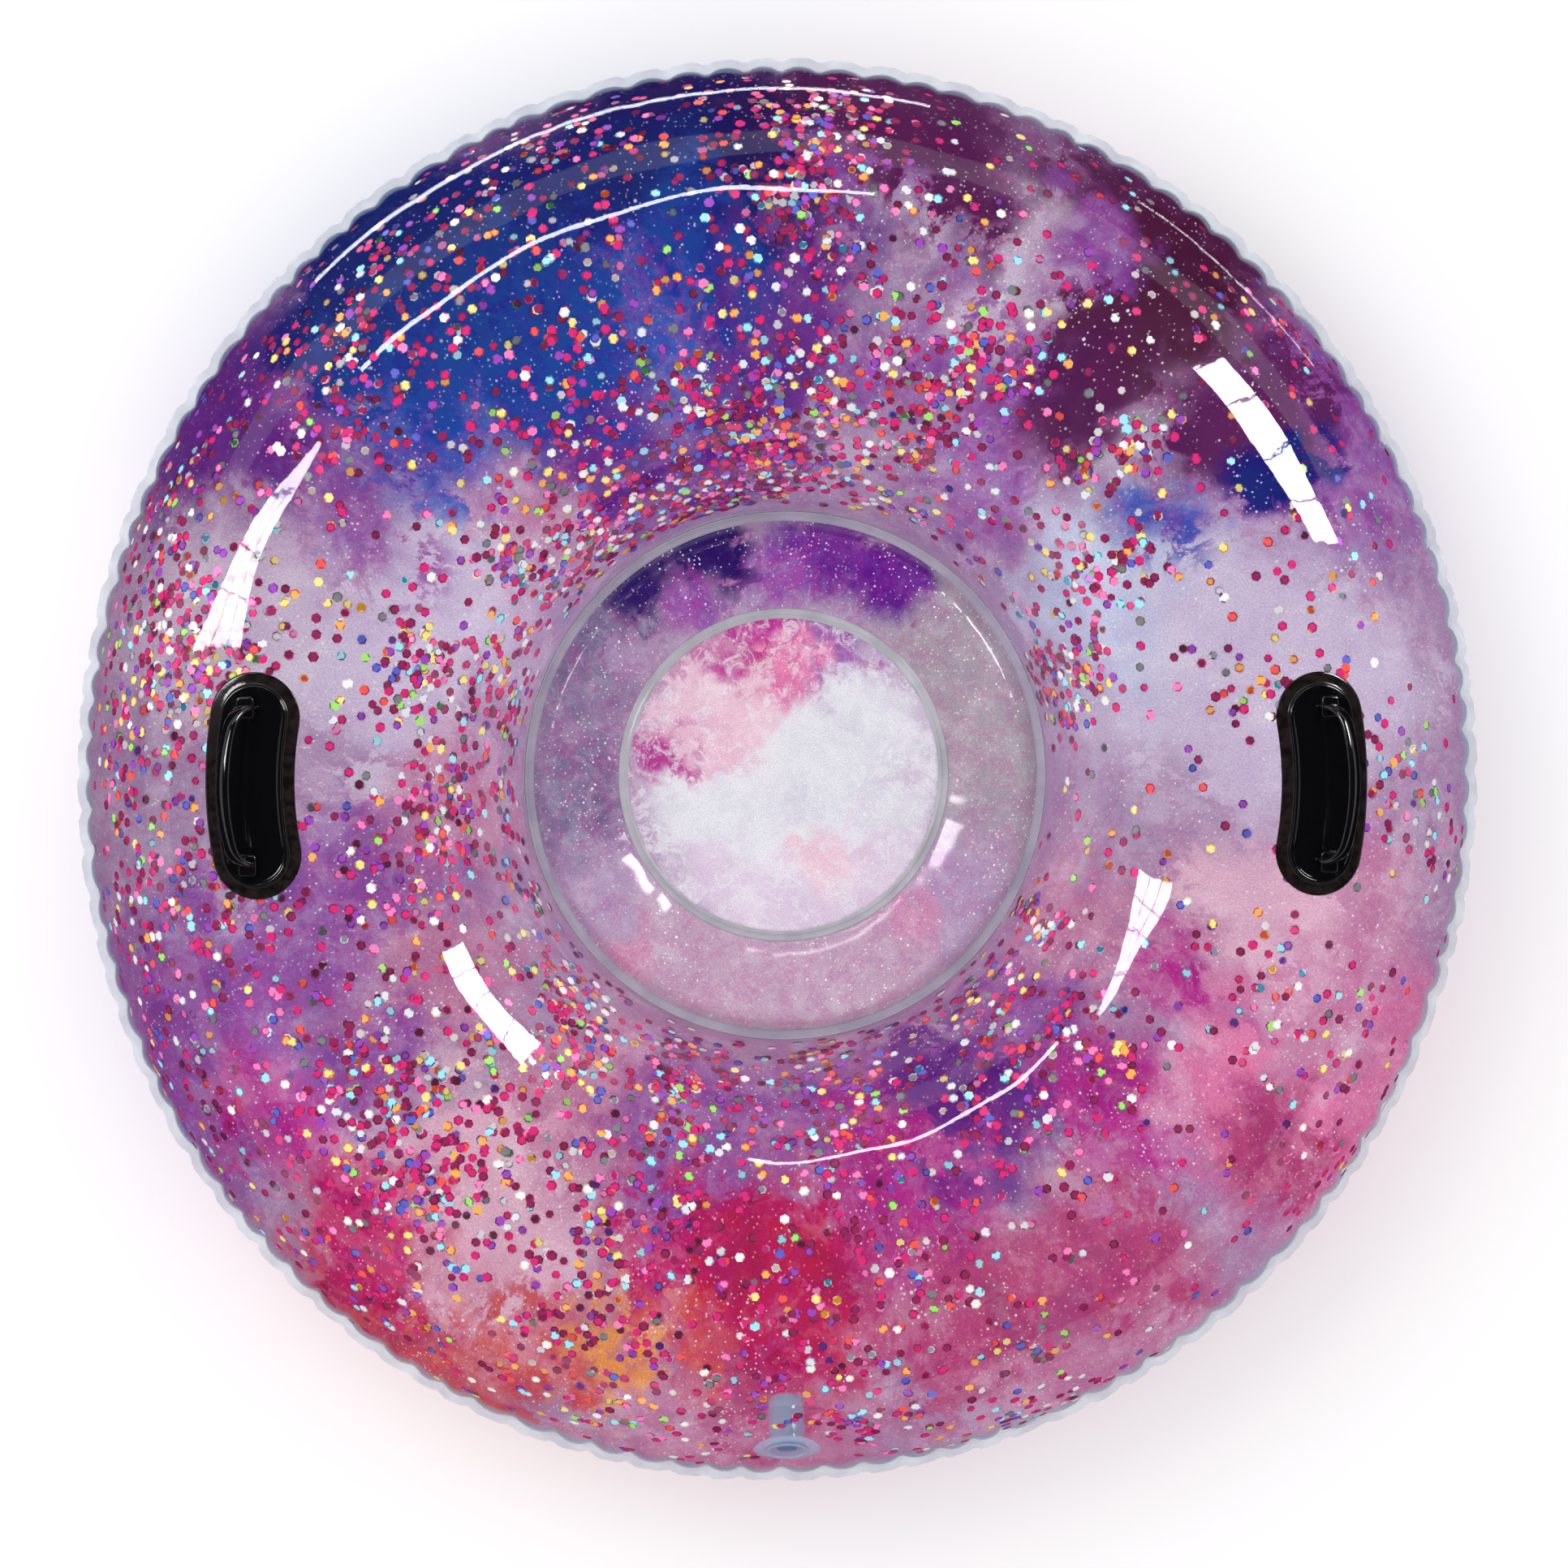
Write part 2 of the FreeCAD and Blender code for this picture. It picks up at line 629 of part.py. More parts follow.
def build_valve(prefix, frame, skin_cells, flange_above):
    """frame has +Z out of the skin and its origin the datum depth below the skin's surface."""

    def cell(suffix):
        return prefix + "_" + suffix

    def ref(suffix):
        return "Dims." + cell(suffix)

    flange_cover = shell(cell("flange_shell"), *skin_cells, flange_above)
    flange_disc = common(
        cell("flange"),
        flange_cover,
        cylinder(
            cell("flange_bar"), ref("flange_radius"), ref("datum") + " / 2", ref("datum"), frame
        ),
    )
    collar = cylinder(
        cell("collar"),
        ref("sleeve_radius") + " + Dims.valve_collar_width",
        ref("datum") + " + Dims.valve_fit_gap * 2",
        "Dims.valve_collar_height - Dims.valve_fit_gap * 2",
        frame,
    )
    sleeve = cylinder(
        cell("sleeve"),
        ref("sleeve_radius"),
        ref("web_bottom"),
        ref("datum") + " + Dims.valve_collar_height - " + ref("web_bottom"),
        frame,
    )
    solid = doc.addObject("Part::MultiFuse", cell("body_solid"))
    solid.Shapes = [flange_disc, collar, sleeve]
    bore = cylinder(
        cell("sleeve_bore_bar"), ref("sleeve_bore"), ref("web_top"), ref("datum") + " * 2", frame
    )
    mouth = cylinder(
        cell("web_hole_bar"), ref("web_hole"), "0", ref("datum") + " * 2", frame
    )
    hollow = doc.addObject("Part::Cut", cell("body_bored"))
    hollow.Base, hollow.Tool = solid, bore
    valve_body = doc.addObject("Part::Cut", cell("body"))
    valve_body.Base, valve_body.Tool = hollow, mouth

    stem = turned_body(
        cell("stem"),
        [
            (cell("stem_bore"), cell("stem_foot")),
            (cell("stem_radius"), cell("stem_foot")),
            (cell("stem_radius"), cell("rim_bottom")),
            (cell("rim_radius"), cell("rim_bottom")),
            (cell("rim_radius"), cell("cap_bottom")),
            (cell("stem_bore"), cell("cap_bottom")),
        ],
    )
    plug = turned_body(
        cell("plug"),
        [
            (None, cell("shank_foot")),
            (cell("shank_radius"), cell("shank_foot")),
            (cell("shank_radius"), cell("cap_bottom")),
            (cell("cap_radius"), cell("cap_bottom")),
            (cell("cap_radius"), cell("cap_top")),
            (None, cell("cap_top")),
        ],
    )
    flap = turned_body(
        cell("flap"),
        [
            (None, cell("flap_foot")),
            (cell("flap_radius"), cell("flap_foot")),
            (cell("flap_radius"), cell("stem_foot")),
            (None, cell("stem_foot")),
        ],
    )
    for piece in (stem, plug, flap):
        piece.Placement = frame

    # the strap: an arc beside the stem's rim, tied to the rim by a tab
    strap_body = doc.addObject("PartDesign::Body", cell("strap"))
    strap_sketch = new_sketch(strap_body, cell("strap_plan"), "XY_Plane")
    inner, outer = size(cell("strap_inner")), size(cell("strap_outer"))
    tab = size(cell("rim_radius")) + size("strap_gap")
    half_arc = math.radians(size("strap_half_angle"))
    tab_half = math.radians(size("strap_tab_half_angle"))
    zero = Vector(0, 0, 0)

    def spot(radius, angle):
        return Vector(radius * math.cos(angle), radius * math.sin(angle), 0)

    strap_sketch.addGeometry(arc(zero, outer, -half_arc, half_arc), False)
    strap_sketch.addGeometry(Part.LineSegment(spot(outer, half_arc), spot(inner, half_arc)), False)
    strap_sketch.addGeometry(arc(zero, inner, tab_half, half_arc), False)
    strap_sketch.addGeometry(
        Part.LineSegment(spot(inner, tab_half), spot(tab, tab_half)), False
    )
    strap_sketch.addGeometry(arc(zero, tab, -tab_half, tab_half), False)
    strap_sketch.addGeometry(
        Part.LineSegment(spot(tab, -tab_half), spot(inner, -tab_half)), False
    )
    strap_sketch.addGeometry(arc(zero, inner, -half_arc, -tab_half), False)
    strap_sketch.addGeometry(Part.LineSegment(spot(inner, -half_arc), spot(outer, -half_arc)), False)
    drive(strap_sketch, "AttachmentOffset.Base.z", cell("rim_bottom"))
    strap_pad = strap_body.newObject("PartDesign::Pad", cell("strap_pad"))
    strap_pad.Profile = strap_sketch
    drive(strap_pad, "Length", "valve_rim_thickness")
    strap_sketch.Visibility = False
    strap_body.Placement = frame
    return [valve_body, stem, plug, strap_body, flap]


ring_frame = Placement(
    valve_point - outward * size("ring_valve_datum"), Rotation(Vector(1, 0, 0), 90 - tilt)
)
nodes += build_valve("ring_valve", ring_frame, tube, "valve_flange_thickness")

floor_point = Vector(0, size("floor_valve_radius"), size("floor_valve_height"))
floor_frame = Placement(
    floor_point + Vector(0, 0, size("floor_valve_datum")), Rotation(Vector(1, 0, 0), 180)
)
floor_cells = ("floor_centre_radius", "floor_base_arc_height", "floor_arc_radius")
nodes += build_valve("floor_valve", floor_frame, floor_cells, "valve_flange_thickness")

# ---- loose glitter: hexagonal flakes that cling inside the two skins
seeded = random.Random(11)
corner = size("glitter_corner_radius")
flake_thickness = size("glitter_thickness")
cling_radius = size("tube_inner_arc_radius") - size("glitter_skin_gap") - flake_thickness / 2
spacing = size("glitter_spacing")
valve_clearance = math.radians(size("glitter_valve_angle"))
weld_clearance = math.radians(size("glitter_weld_angle"))
hexagon = [
    Vector(corner * math.cos(k * math.pi / 3), corner * math.sin(k * math.pi / 3), -flake_thickness / 2)
    for k in range(7)
]
flake = Part.Face(Part.makePolygon(hexagon)).extrude(Vector(0, 0, flake_thickness))
centres = []
flakes = []
while len(flakes) < size("glitter_count"):
    bearing = seeded.uniform(0, 2 * math.pi)
    on_top = seeded.random() < 0.7
    lift = seeded.uniform(weld_clearance, math.pi - weld_clearance)
    direction = Vector(math.cos(lift), 0, math.sin(lift) if on_top else -math.sin(lift))
    arc_height = size("top_arc_height") if on_top else size("base_arc_height")
    spin = Rotation(Vector(0, 0, 1), math.degrees(bearing))
    local = Vector(size("tube_centre_radius"), 0, arc_height) + direction * cling_radius
    centre = spin.multVec(local)
    away_from_valve = abs(bearing - 1.5 * math.pi) > valve_clearance
    if away_from_valve and all((centre - other).Length > spacing for other in centres):
        facing = Rotation(Vector(0, 0, 1), spin.multVec(direction))
        twist = Rotation(Vector(0, 0, 1), seeded.uniform(0, 60))
        piece = flake.copy()
        piece.Placement = Placement(centre, facing.multiply(twist))
        centres.append(centre)
        flakes.append(piece)
glitter = doc.addObject("Part::Feature", "ring_glitter")
glitter.Shape = Part.makeCompound(flakes)
nodes.append(glitter)

doc.recompute()

for obj in doc.Objects:
    for word in ("Invalid", "Error"):
        if word in obj.State:
            raise RuntimeError("%s is %s" % (obj.Name, obj.State))
for node in nodes:
    if node.Shape.isNull() or not node.Shape.isValid():
        raise RuntimeError("%s has no valid shape" % node.Name)

os.makedirs("parts", exist_ok=True)
for node in nodes:
    node.Label = node.Name
    node.Shape.exportStep("parts/%s.step" % node.Name)
    box = node.Shape.BoundBox
    print(
        "%-20s solids %3d volume %10.0f  x %.1f..%.1f y %.1f..%.1f z %.1f..%.1f"
        % (
            node.Name,
            len(node.Shape.Solids),
            node.Shape.Volume,
            box.XMin,
            box.XMax,
            box.YMin,
            box.YMax,
            box.ZMin,
            box.ZMax,
        )
    )
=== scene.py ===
import math
from contextlib import contextmanager

import bmesh
import bpy
import numpy as np
from mathutils import Matrix, Vector


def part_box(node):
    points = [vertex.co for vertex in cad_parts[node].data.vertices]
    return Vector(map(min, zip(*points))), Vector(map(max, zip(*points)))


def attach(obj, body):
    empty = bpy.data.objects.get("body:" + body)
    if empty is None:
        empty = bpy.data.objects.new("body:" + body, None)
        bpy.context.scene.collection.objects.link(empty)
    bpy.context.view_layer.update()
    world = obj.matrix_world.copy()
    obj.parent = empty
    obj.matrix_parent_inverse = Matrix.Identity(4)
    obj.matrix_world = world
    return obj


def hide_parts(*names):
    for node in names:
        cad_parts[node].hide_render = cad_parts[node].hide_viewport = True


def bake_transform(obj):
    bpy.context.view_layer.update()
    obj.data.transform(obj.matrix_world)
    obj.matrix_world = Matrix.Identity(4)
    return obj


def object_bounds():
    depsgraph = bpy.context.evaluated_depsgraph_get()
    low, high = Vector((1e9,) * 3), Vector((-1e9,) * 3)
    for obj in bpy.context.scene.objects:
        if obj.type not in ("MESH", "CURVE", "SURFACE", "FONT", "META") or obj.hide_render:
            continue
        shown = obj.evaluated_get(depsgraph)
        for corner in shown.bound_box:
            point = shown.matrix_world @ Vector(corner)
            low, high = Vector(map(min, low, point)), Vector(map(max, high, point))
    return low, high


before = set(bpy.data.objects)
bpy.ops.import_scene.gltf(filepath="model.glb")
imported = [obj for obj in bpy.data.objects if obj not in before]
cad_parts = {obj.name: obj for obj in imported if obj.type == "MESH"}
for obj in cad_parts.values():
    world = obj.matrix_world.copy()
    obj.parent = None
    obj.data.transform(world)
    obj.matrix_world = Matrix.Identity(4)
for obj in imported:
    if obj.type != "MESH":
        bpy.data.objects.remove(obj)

MM = 0.001
TAU = 2 * math.pi
X, Y, Z = 0, 1, 2

cad_low, cad_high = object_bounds()
cad_box = [list(map(float, cad_low)), list(map(float, cad_high))]


def box(node):
    low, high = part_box(node)
    return Vector(low), Vector(high)


def span(node, axis):
    """A node's lowest and highest place along an axis."""
    low, high = box(node)
    return low[axis], high[axis]


def radius_of(node):
    """Half a round node's width."""
    low, high = span(node, X)
    return (high - low) / 2


# ---------------------------------------------------------------- sizes, most of them from the CAD nodes
band_z = span("bore_seam_band", Z)
panel_z = span("floor_centre_panel", Z)
ground_z = span("ring_base_skin", Z)[0]
floor_valve_y = sum(span("floor_valve_plug", Y)) / 2
floor_valve_z = span("floor_base_sheet", Z)[0]

seam_z = (band_z[0] + band_z[1]) / 2
skin = 0.6 * MM
band_radius = radius_of("bore_seam_band")
band_lap = 2 * MM
bore_radius = band_radius - band_lap
outer_radius = radius_of("ring_base_skin")
tube_centre = (outer_radius + bore_radius) / 2
half_width = (outer_radius - bore_radius) / 2
half_height = span("ring_top_skin", Z)[1] - seam_z
arc_radius = (half_width**2 + half_height**2) / (2 * half_height)
arc_drop = arc_radius - half_height
edge_angle = math.asin(arc_drop / arc_radius)
arc_span = math.pi - 2 * edge_angle
arc_length = arc_radius * arc_span
bulge = span("floor_top_sheet", Z)[1] - band_z[1]
floor_outer = radius_of("floor_top_sheet")
floor_inner = radius_of("floor_inner_weld")
panel_radius = radius_of("floor_centre_panel")
puckers = 112
dice = np.random.default_rng(20)


# ---------------------------------------------------------------- mesh helpers
def add_object(name, verts, faces, materials=(), smooth=True):
    mesh = bpy.data.meshes.new(name)
    mesh.from_pydata([tuple(v) for v in verts], [], faces)
    mesh.update()
    obj = bpy.data.objects.new(name, mesh)
    bpy.context.scene.collection.objects.link(obj)
    for material in materials:
        mesh.materials.append(material)
    if smooth:
        mesh.polygons.foreach_set("use_smooth", [True] * len(mesh.polygons))
    return obj


def wrap_faces(rows, columns, first=0, flip=False, closed=False):
    """Quads over a grid whose rows close into rings. closed also joins the last column to the first."""
    faces = []
    steps = columns if closed else columns - 1
    for i in range(rows):
        a = first + i * columns
        b = first + ((i + 1) % rows) * columns
        for j in range(steps):
            k = (j + 1) % columns
            quad = (a + j, b + j, b + k, a + k)
            faces.append(quad[::-1] if flip else quad)
    return faces


def store(obj, name, vectors):
    layer = obj.data.attributes.new(name, "FLOAT_VECTOR", "POINT")
    layer.data.foreach_set("vector", np.asarray(vectors, np.float32).ravel())


@contextmanager
def mesh_work(obj):
    """Lends an object's mesh out for editing and writes it back."""
    work = bmesh.new()
    work.from_mesh(obj.data)
    yield work
    work.to_mesh(obj.data)
    work.free()


def fix_normals(obj):
    with mesh_work(obj) as work:
        bmesh.ops.recalc_face_normals(work, faces=work.faces)


def closed_ring(name, section, material, place=None):
    """A closed ring from an array of sections: (around, along the section, xyz)."""
    around, along = section.shape[:2]
    obj = add_object(name, section.reshape(-1, 3), wrap_faces(around, along, closed=True), [material])
    if place is not None:
        store(obj, "print_at", place)
    fix_normals(obj)
    return obj


def closed_sheet(name, upper, lower, material, place=None):
    """A sheet of real thickness from its two faces, each an array (around, across, xyz)."""
    marks = None if place is None else np.concatenate([place, place[:, ::-1]], 1)
    return closed_ring(name, np.concatenate([upper, lower[:, ::-1]], 1), material, marks)


def settle(obj, node, body="float"):
    """Hides the CAD node a piece stands for and hangs the piece from the body it moves with."""
    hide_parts(node)
    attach(obj, body)
    return obj


# ---------------------------------------------------------------- the tube's shape
def uneven(theta, seed, orders, size):
    """A smooth uneven wave round the tube."""
    source = np.random.default_rng(seed)
    out = np.zeros_like(theta)
    for order in orders:
        out += source.normal() * np.cos(order * theta + source.uniform(0, TAU))
    return size * out / math.sqrt(len(orders))


def crease_phase(theta):
    """Runs through one turn per pucker, with pitches that differ a little."""
    return puckers * theta + uneven(theta, 5, (7, 11, 17, 23, 31), 1.1)


crease_source = np.random.default_rng(8)
crease_depth = 2.8 * MM
crease_share = crease_source.uniform(0.5, 1.0, puckers + 2)
crease_reach = 10 * MM + 45 * MM * crease_source.random(puckers + 2) ** 2.5
puff_depth = 1.7 * MM
puff_reach = 16 * MM


def pucker(theta, to_seam):
    """How far the film is drawn in beside the outer weld: narrow creases, and a hollow between puffs."""
    phase = crease_phase(theta) / TAU
    nearest = np.round(phase)
    index = nearest.astype(int) % puckers
    off = phase - nearest
    fade = np.exp(-to_seam / crease_reach[index])
    groove = np.exp(-((off / (0.16 + 0.1 * (1 - fade))) ** 2))
    puff = np.cos(math.pi * off) ** 2
    near = np.exp(-((to_seam / puff_reach) ** 1.3))
    return crease_depth * crease_share[index] * groove * fade - puff_depth * (1 - puff) * near


wave_height = 0.9 * MM
crumple_height = 0.12 * MM
film_gap = 0.05 * MM
ground_gap = 0.02 * MM


def oval_shift(theta):
    """The tube's outline is a little oval, and stands off to one side."""
    return MM * (3.4 - 4 * np.cos(2 * theta) + 3.5 * np.cos(theta + math.radians(73)))


def bore_shift(theta):
    """The bore is a little out of round where the tube crowds it."""
    aside = 3.0 * np.cos(theta - math.radians(150))
    oval = 1.4 * np.cos(2 * theta - math.radians(340))
    return MM * (1.3 - aside - oval)


valve_tilt = math.radians(34)
valve_share = (math.pi - edge_angle - valve_tilt) / arc_span
valve_reach = tube_centre + arc_radius * math.cos(valve_tilt)
valve_calm = (30 * MM, 70 * MM)


def from_valve(theta, share):
    """Distance over the film from the tube's valve."""
    aside = (theta + math.pi / 2 + math.pi) % TAU - math.pi
    return np.hypot(aside * valve_reach, (share - valve_share) * arc_length)


def near_valve(theta, share):
    """1 at the tube's valve, where its stiff flange keeps the film in shape, falling to 0 farther off."""
    inner, outer = valve_calm
    return np.clip((outer - from_valve(theta, share)) / (outer - inner), 0, 1)


def tube_point(theta, share, side, lift=0.0):
    """A point on the tube's film. share runs from the bore weld (0) to the outer weld (1).
    side is 1 for the top film and -1 for the base. lift is out along the surface."""
    theta, share = np.broadcast_arrays(np.asarray(theta, float), np.asarray(share, float))
    angle = math.pi - edge_angle - share * arc_span
    to_seam = (1 - share) * arc_length
    wave = uneven(theta, 31 + side, (2, 3, 5), wave_height) * np.sin(math.pi * share)
    crumple = uneven(theta + 2.2 * share, 41 + side, (9, 14, 19), crumple_height)
    crumple = crumple * np.sin(math.pi * share) ** 0.5
    loose = 1 - near_valve(theta, share) * (side > 0)
    out = lift + (wave + crumple - pucker(theta, to_seam)) * loose
    oval = (oval_shift(theta) + uneven(theta, 3, (3, 5, 7), wave_height)) * share**2 * loose
    reach = tube_centre + (arc_radius + out) * np.cos(angle) + oval
    reach = reach + bore_shift(theta) * (1 - share) ** 2
    height = (arc_radius + out) * np.sin(angle) - arc_drop
    z = seam_z + side * np.maximum(height, skin + lift + film_gap)
    z = np.maximum(z, ground_z + ground_gap + (np.maximum(-lift, 0) if side < 0 else 0))
    return np.stack([reach * np.cos(theta), reach * np.sin(theta), z], -1)


def share_of(radius):
    """Where a distance from the centre, seen from above, falls across the tube's film."""
    angle = np.arccos(np.clip((radius - tube_centre) / arc_radius, -1, 1))
    return (math.pi - edge_angle - angle) / arc_span


def film_place(theta, share):
    """Where a point was on the flat sheet before it was inflated, in metres from the centre."""
    theta, share = np.broadcast_arrays(theta, share)
    flat = bore_radius + share * arc_length
    return np.stack([flat * np.cos(theta), flat * np.sin(theta), np.zeros_like(flat)], -1)


# ---------------------------------------------------------------- materials
def linear(red, green, blue):
    """Screen colour, 0 to 255, as linear light."""
    out = []
    for value in (red, green, blue):
        v = value / 255
        out.append(v / 12.92 if v <= 0.04045 else ((v + 0.055) / 1.055) ** 2.4)
    return (*out, 1.0)


class Nodes:
    """A short way to write a material's node tree."""

    def __init__(self, name):
        self.material = bpy.data.materials.new(name)
        self.material.use_nodes = True
        self.tree = self.material.node_tree
        self.shader = self.tree.nodes["Principled BSDF"]

    def new(self, kind, **settings):
        node = self.tree.nodes.new(kind)
        for key, value in settings.items():
            setattr(node, key, value)
        return node

    def link(self, value, socket):
        if hasattr(value, "is_output"):
            self.tree.links.new(value, socket)
        elif isinstance(value, (tuple, list)) and len(value) == 3 and len(socket.default_value) == 4:
            socket.default_value = (*value, 1.0)
        else:
            socket.default_value = value

    def set(self, **values):
        for key, value in values.items():
            self.link(value, self.shader.inputs[key.replace("_", " ")])

    def place(self, name):
        node = self.new("ShaderNodeAttribute", attribute_name=name)
        return node.outputs["Vector"]

    def maths(self, operation, a, b=0.0, c=0.0, clamp=False):
        node = self.new("ShaderNodeMath", operation=operation, use_clamp=clamp)
        for socket, value in zip(node.inputs, (a, b, c)):
            self.link(value, socket)
        return node.outputs[0]

    def times(self, a, b):
        return self.maths("MULTIPLY", a, b)

    def vector(self, operation, a, b=None, scale=None):
        node = self.new("ShaderNodeVectorMath", operation=operation)
        self.link(a, node.inputs[0])
        if b is not None:
            self.link(b, node.inputs[1])
        if scale is not None:
            self.link(scale, node.inputs["Scale"])
        return node.outputs["Value" if operation in ("DISTANCE", "LENGTH") else "Vector"]

    def noise(self, where, scale, detail=4.0, rough=0.55, warp=0.0, output="Fac", kind="FBM"):
        node = self.new("ShaderNodeTexNoise", noise_type=kind)
        self.link(where, node.inputs["Vector"])
        node.inputs["Scale"].default_value = scale
        node.inputs["Detail"].default_value = detail
        node.inputs["Roughness"].default_value = rough
        node.inputs["Distortion"].default_value = warp
        return node.outputs[output]

    def fade(self, value, low, high, start=0.0, end=1.0, smooth=True):
        kind = "SMOOTHSTEP" if smooth else "LINEAR"
        node = self.new("ShaderNodeMapRange", interpolation_type=kind)
        names = ("Value", "From Min", "From Max", "To Min", "To Max")
        for key, number in zip(names, (value, low, high, start, end)):
            self.link(number, node.inputs[key])
        return node.outputs["Result"]

    def mix(self, share, a, b, blend="MIX"):
        node = self.new("ShaderNodeMix", data_type="RGBA", blend_type=blend)
        self.link(share, node.inputs["Factor"])
        self.link(a, node.inputs[6])
        self.link(b, node.inputs[7])
        return node.outputs[2]

    def bump(self, height, strength, distance):
        node = self.new("ShaderNodeBump")
        node.inputs["Strength"].default_value = strength
        node.inputs["Distance"].default_value = distance
        self.link(height, node.inputs["Height"])
        self.set(Normal=node.outputs["Normal"])


# ---------------------------------------------------------------- printed nebula
INKS = {
    "lavender": linear(222, 208, 236),
    "periwinkle": linear(204, 216, 246),
    "mauve": linear(186, 156, 196),
    "ash": linear(176, 162, 176),
    "lilac": linear(228, 206, 232),
    "blush": linear(242, 194, 216),
    "heather": linear(204, 168, 196),
    "raspberry": linear(196, 84, 130),
    "rose": linear(214, 142, 182),
    "hot pink": linear(242, 122, 178),
    "magenta": linear(208, 32, 112),
    "crimson": linear(208, 26, 84),
    "coral": linear(228, 92, 86),
    "orange": linear(255, 164, 44),
    "orchid": linear(198, 58, 156),
    "violet": linear(158, 96, 180),
    "purple": linear(112, 58, 150),
    "slate": linear(84, 108, 202),
    "royal": linear(24, 80, 174),
    "navy": linear(22, 48, 134),
    "dusk": linear(44, 28, 100),
    "plum": linear(100, 34, 92),
    "maroon": linear(84, 28, 60),
    "smoke": linear(132, 116, 154),
    "pearl": linear(226, 226, 236),
    "cloud": linear(240, 238, 246),
}

# each patch: bearing in degrees, distance from the centre and size in mm, ink
RING_PATCHES = (
    # the rim, under everything else
    (0, 474, 190, "mauve"), (30, 474, 180, "violet"), (56, 474, 180, "plum"), (82, 474, 170, "plum"),
    (102, 474, 160, "dusk"), (124, 474, 170, "navy"), (148, 474, 160, "purple"), (178, 474, 180, "mauve"),
    (206, 474, 170, "violet"), (236, 474, 170, "coral"), (268, 474, 170, "rose"), (298, 474, 170, "rose"),
    (330, 474, 180, "hot pink"),
    # right side, pale
    (0, 320, 170, "lavender"), (24, 275, 130, "periwinkle"), (16, 360, 110, "lavender"),
    (8, 430, 100, "lavender"), (345, 290, 130, "mauve"), (346, 430, 100, "rose"),
    # upper right, a dark arm with a pale cloud beside it
    (52, 250, 90, "violet"), (54, 430, 150, "maroon"), (50, 345, 84, "plum"), (38, 372, 64, "mauve"),
    (36, 440, 90, "plum"), (32, 350, 50, "slate"), (30, 434, 55, "navy"), (60, 440, 60, "violet"),
    (67, 390, 84, "lilac"), (64, 300, 110, "violet"),
    # top, purple into navy
    (76, 250, 110, "mauve"), (76, 345, 100, "violet"), (78, 440, 110, "plum"), (80, 380, 84, "mauve"),
    (84, 430, 56, "violet"), (92, 330, 130, "purple"), (94, 440, 100, "dusk"), (106, 420, 150, "navy"),
    (98, 385, 70, "royal"), (97, 235, 90, "purple"), (110, 330, 110, "slate"), (124, 425, 150, "navy"),
    (136, 445, 110, "navy"), (120, 350, 130, "royal"), (119, 240, 90, "purple"), (148, 430, 90, "violet"),
    (138, 345, 100, "slate"), (133, 405, 90, "royal"),
    # left, lilac
    (138, 245, 90, "rose"), (152, 270, 110, "lavender"), (155, 365, 90, "violet"), (151, 452, 90, "purple"),
    (165, 410, 130, "lilac"), (170, 310, 120, "lavender"), (184, 400, 110, "mauve"), (184, 235, 90, "rose"),
    (198, 320, 120, "violet"), (201, 435, 110, "violet"),
    # lower left, magenta over pale pink
    (212, 285, 100, "rose"), (217, 430, 90, "orchid"), (232, 345, 84, "blush"), (217, 368, 84, "violet"),
    (231, 450, 100, "magenta"), (240, 385, 110, "blush"), (243, 275, 100, "rose"),
    # bottom, warm
    (250, 455, 75, "coral"), (262, 370, 120, "magenta"), (256, 262, 90, "violet"),
    (273, 385, 125, "crimson"), (270, 462, 80, "raspberry"), (274, 250, 85, "violet"),
    (289, 420, 115, "raspberry"), (289, 300, 110, "orchid"), (292, 240, 70, "purple"),
    (262, 436, 60, "coral"), (254, 412, 34, "orange"), (253, 440, 38, "orange"), (255, 468, 32, "orange"),
    # lower right, purple and pink
    (303, 275, 110, "purple"), (304, 430, 100, "raspberry"), (314, 350, 90, "orchid"),
    (318, 250, 90, "violet"), (325, 405, 80, "hot pink"), (332, 336, 60, "orchid"), (342, 374, 84, "blush"),
    (322, 448, 76, "raspberry"), (333, 455, 80, "rose"), (333, 250, 80, "rose"),
)

# the two dusk patches at bearings 108 and 128, by the floor's outer weld, are painted shadow of the tube
# falling on the floor
FLOOR_PATCHES = (
    (0, 150, 110, "ash"), (40, 150, 70, "ash"), (316, 150, 100, "mauve"), (285, 150, 100, "heather"),
    (245, 150, 100, "heather"), (206, 150, 60, "mauve"), (185, 155, 70, "smoke"), (62, 156, 44, "purple"),
    (80, 160, 50, "purple"), (92, 140, 40, "violet"), (108, 166, 46, "dusk"), (128, 168, 46, "dusk"),
    (152, 160, 62, "smoke"), (118, 126, 30, "violet"), (142, 128, 30, "mauve"), (312, 132, 26, "rose"),
    (228, 168, 24, "rose"),
)

PANEL_PATCHES = (
    (0, 0, 140, "cloud"), (118, 92, 78, "rose"), (128, 80, 36, "orchid"), (98, 92, 42, "orchid"),
    (108, 70, 22, "magenta"), (66, 94, 46, "violet"), (84, 74, 30, "hot pink"), (150, 84, 40, "blush"),
    (170, 96, 30, "orchid"), (112, 52, 34, "blush"), (140, 56, 26, "blush"), (14, 50, 56, "pearl"),
    (206, 62, 50, "pearl"), (320, 20, 40, "pearl"), (275, 92, 50, "lilac"), (310, 84, 50, "lilac"),
    (245, 92, 40, "lilac"), (290, 60, 30, "blush"),
)


def ring_reach(radius):
    """Distance from the centre on the ring's flat sheet for a distance seen from above."""
    return bore_radius + float(share_of(radius)) * arc_length


def as_seen(radius):
    return radius


def eased(share):
    """0 to 1, level at both ends."""
    return share * share * (3 - 2 * share)


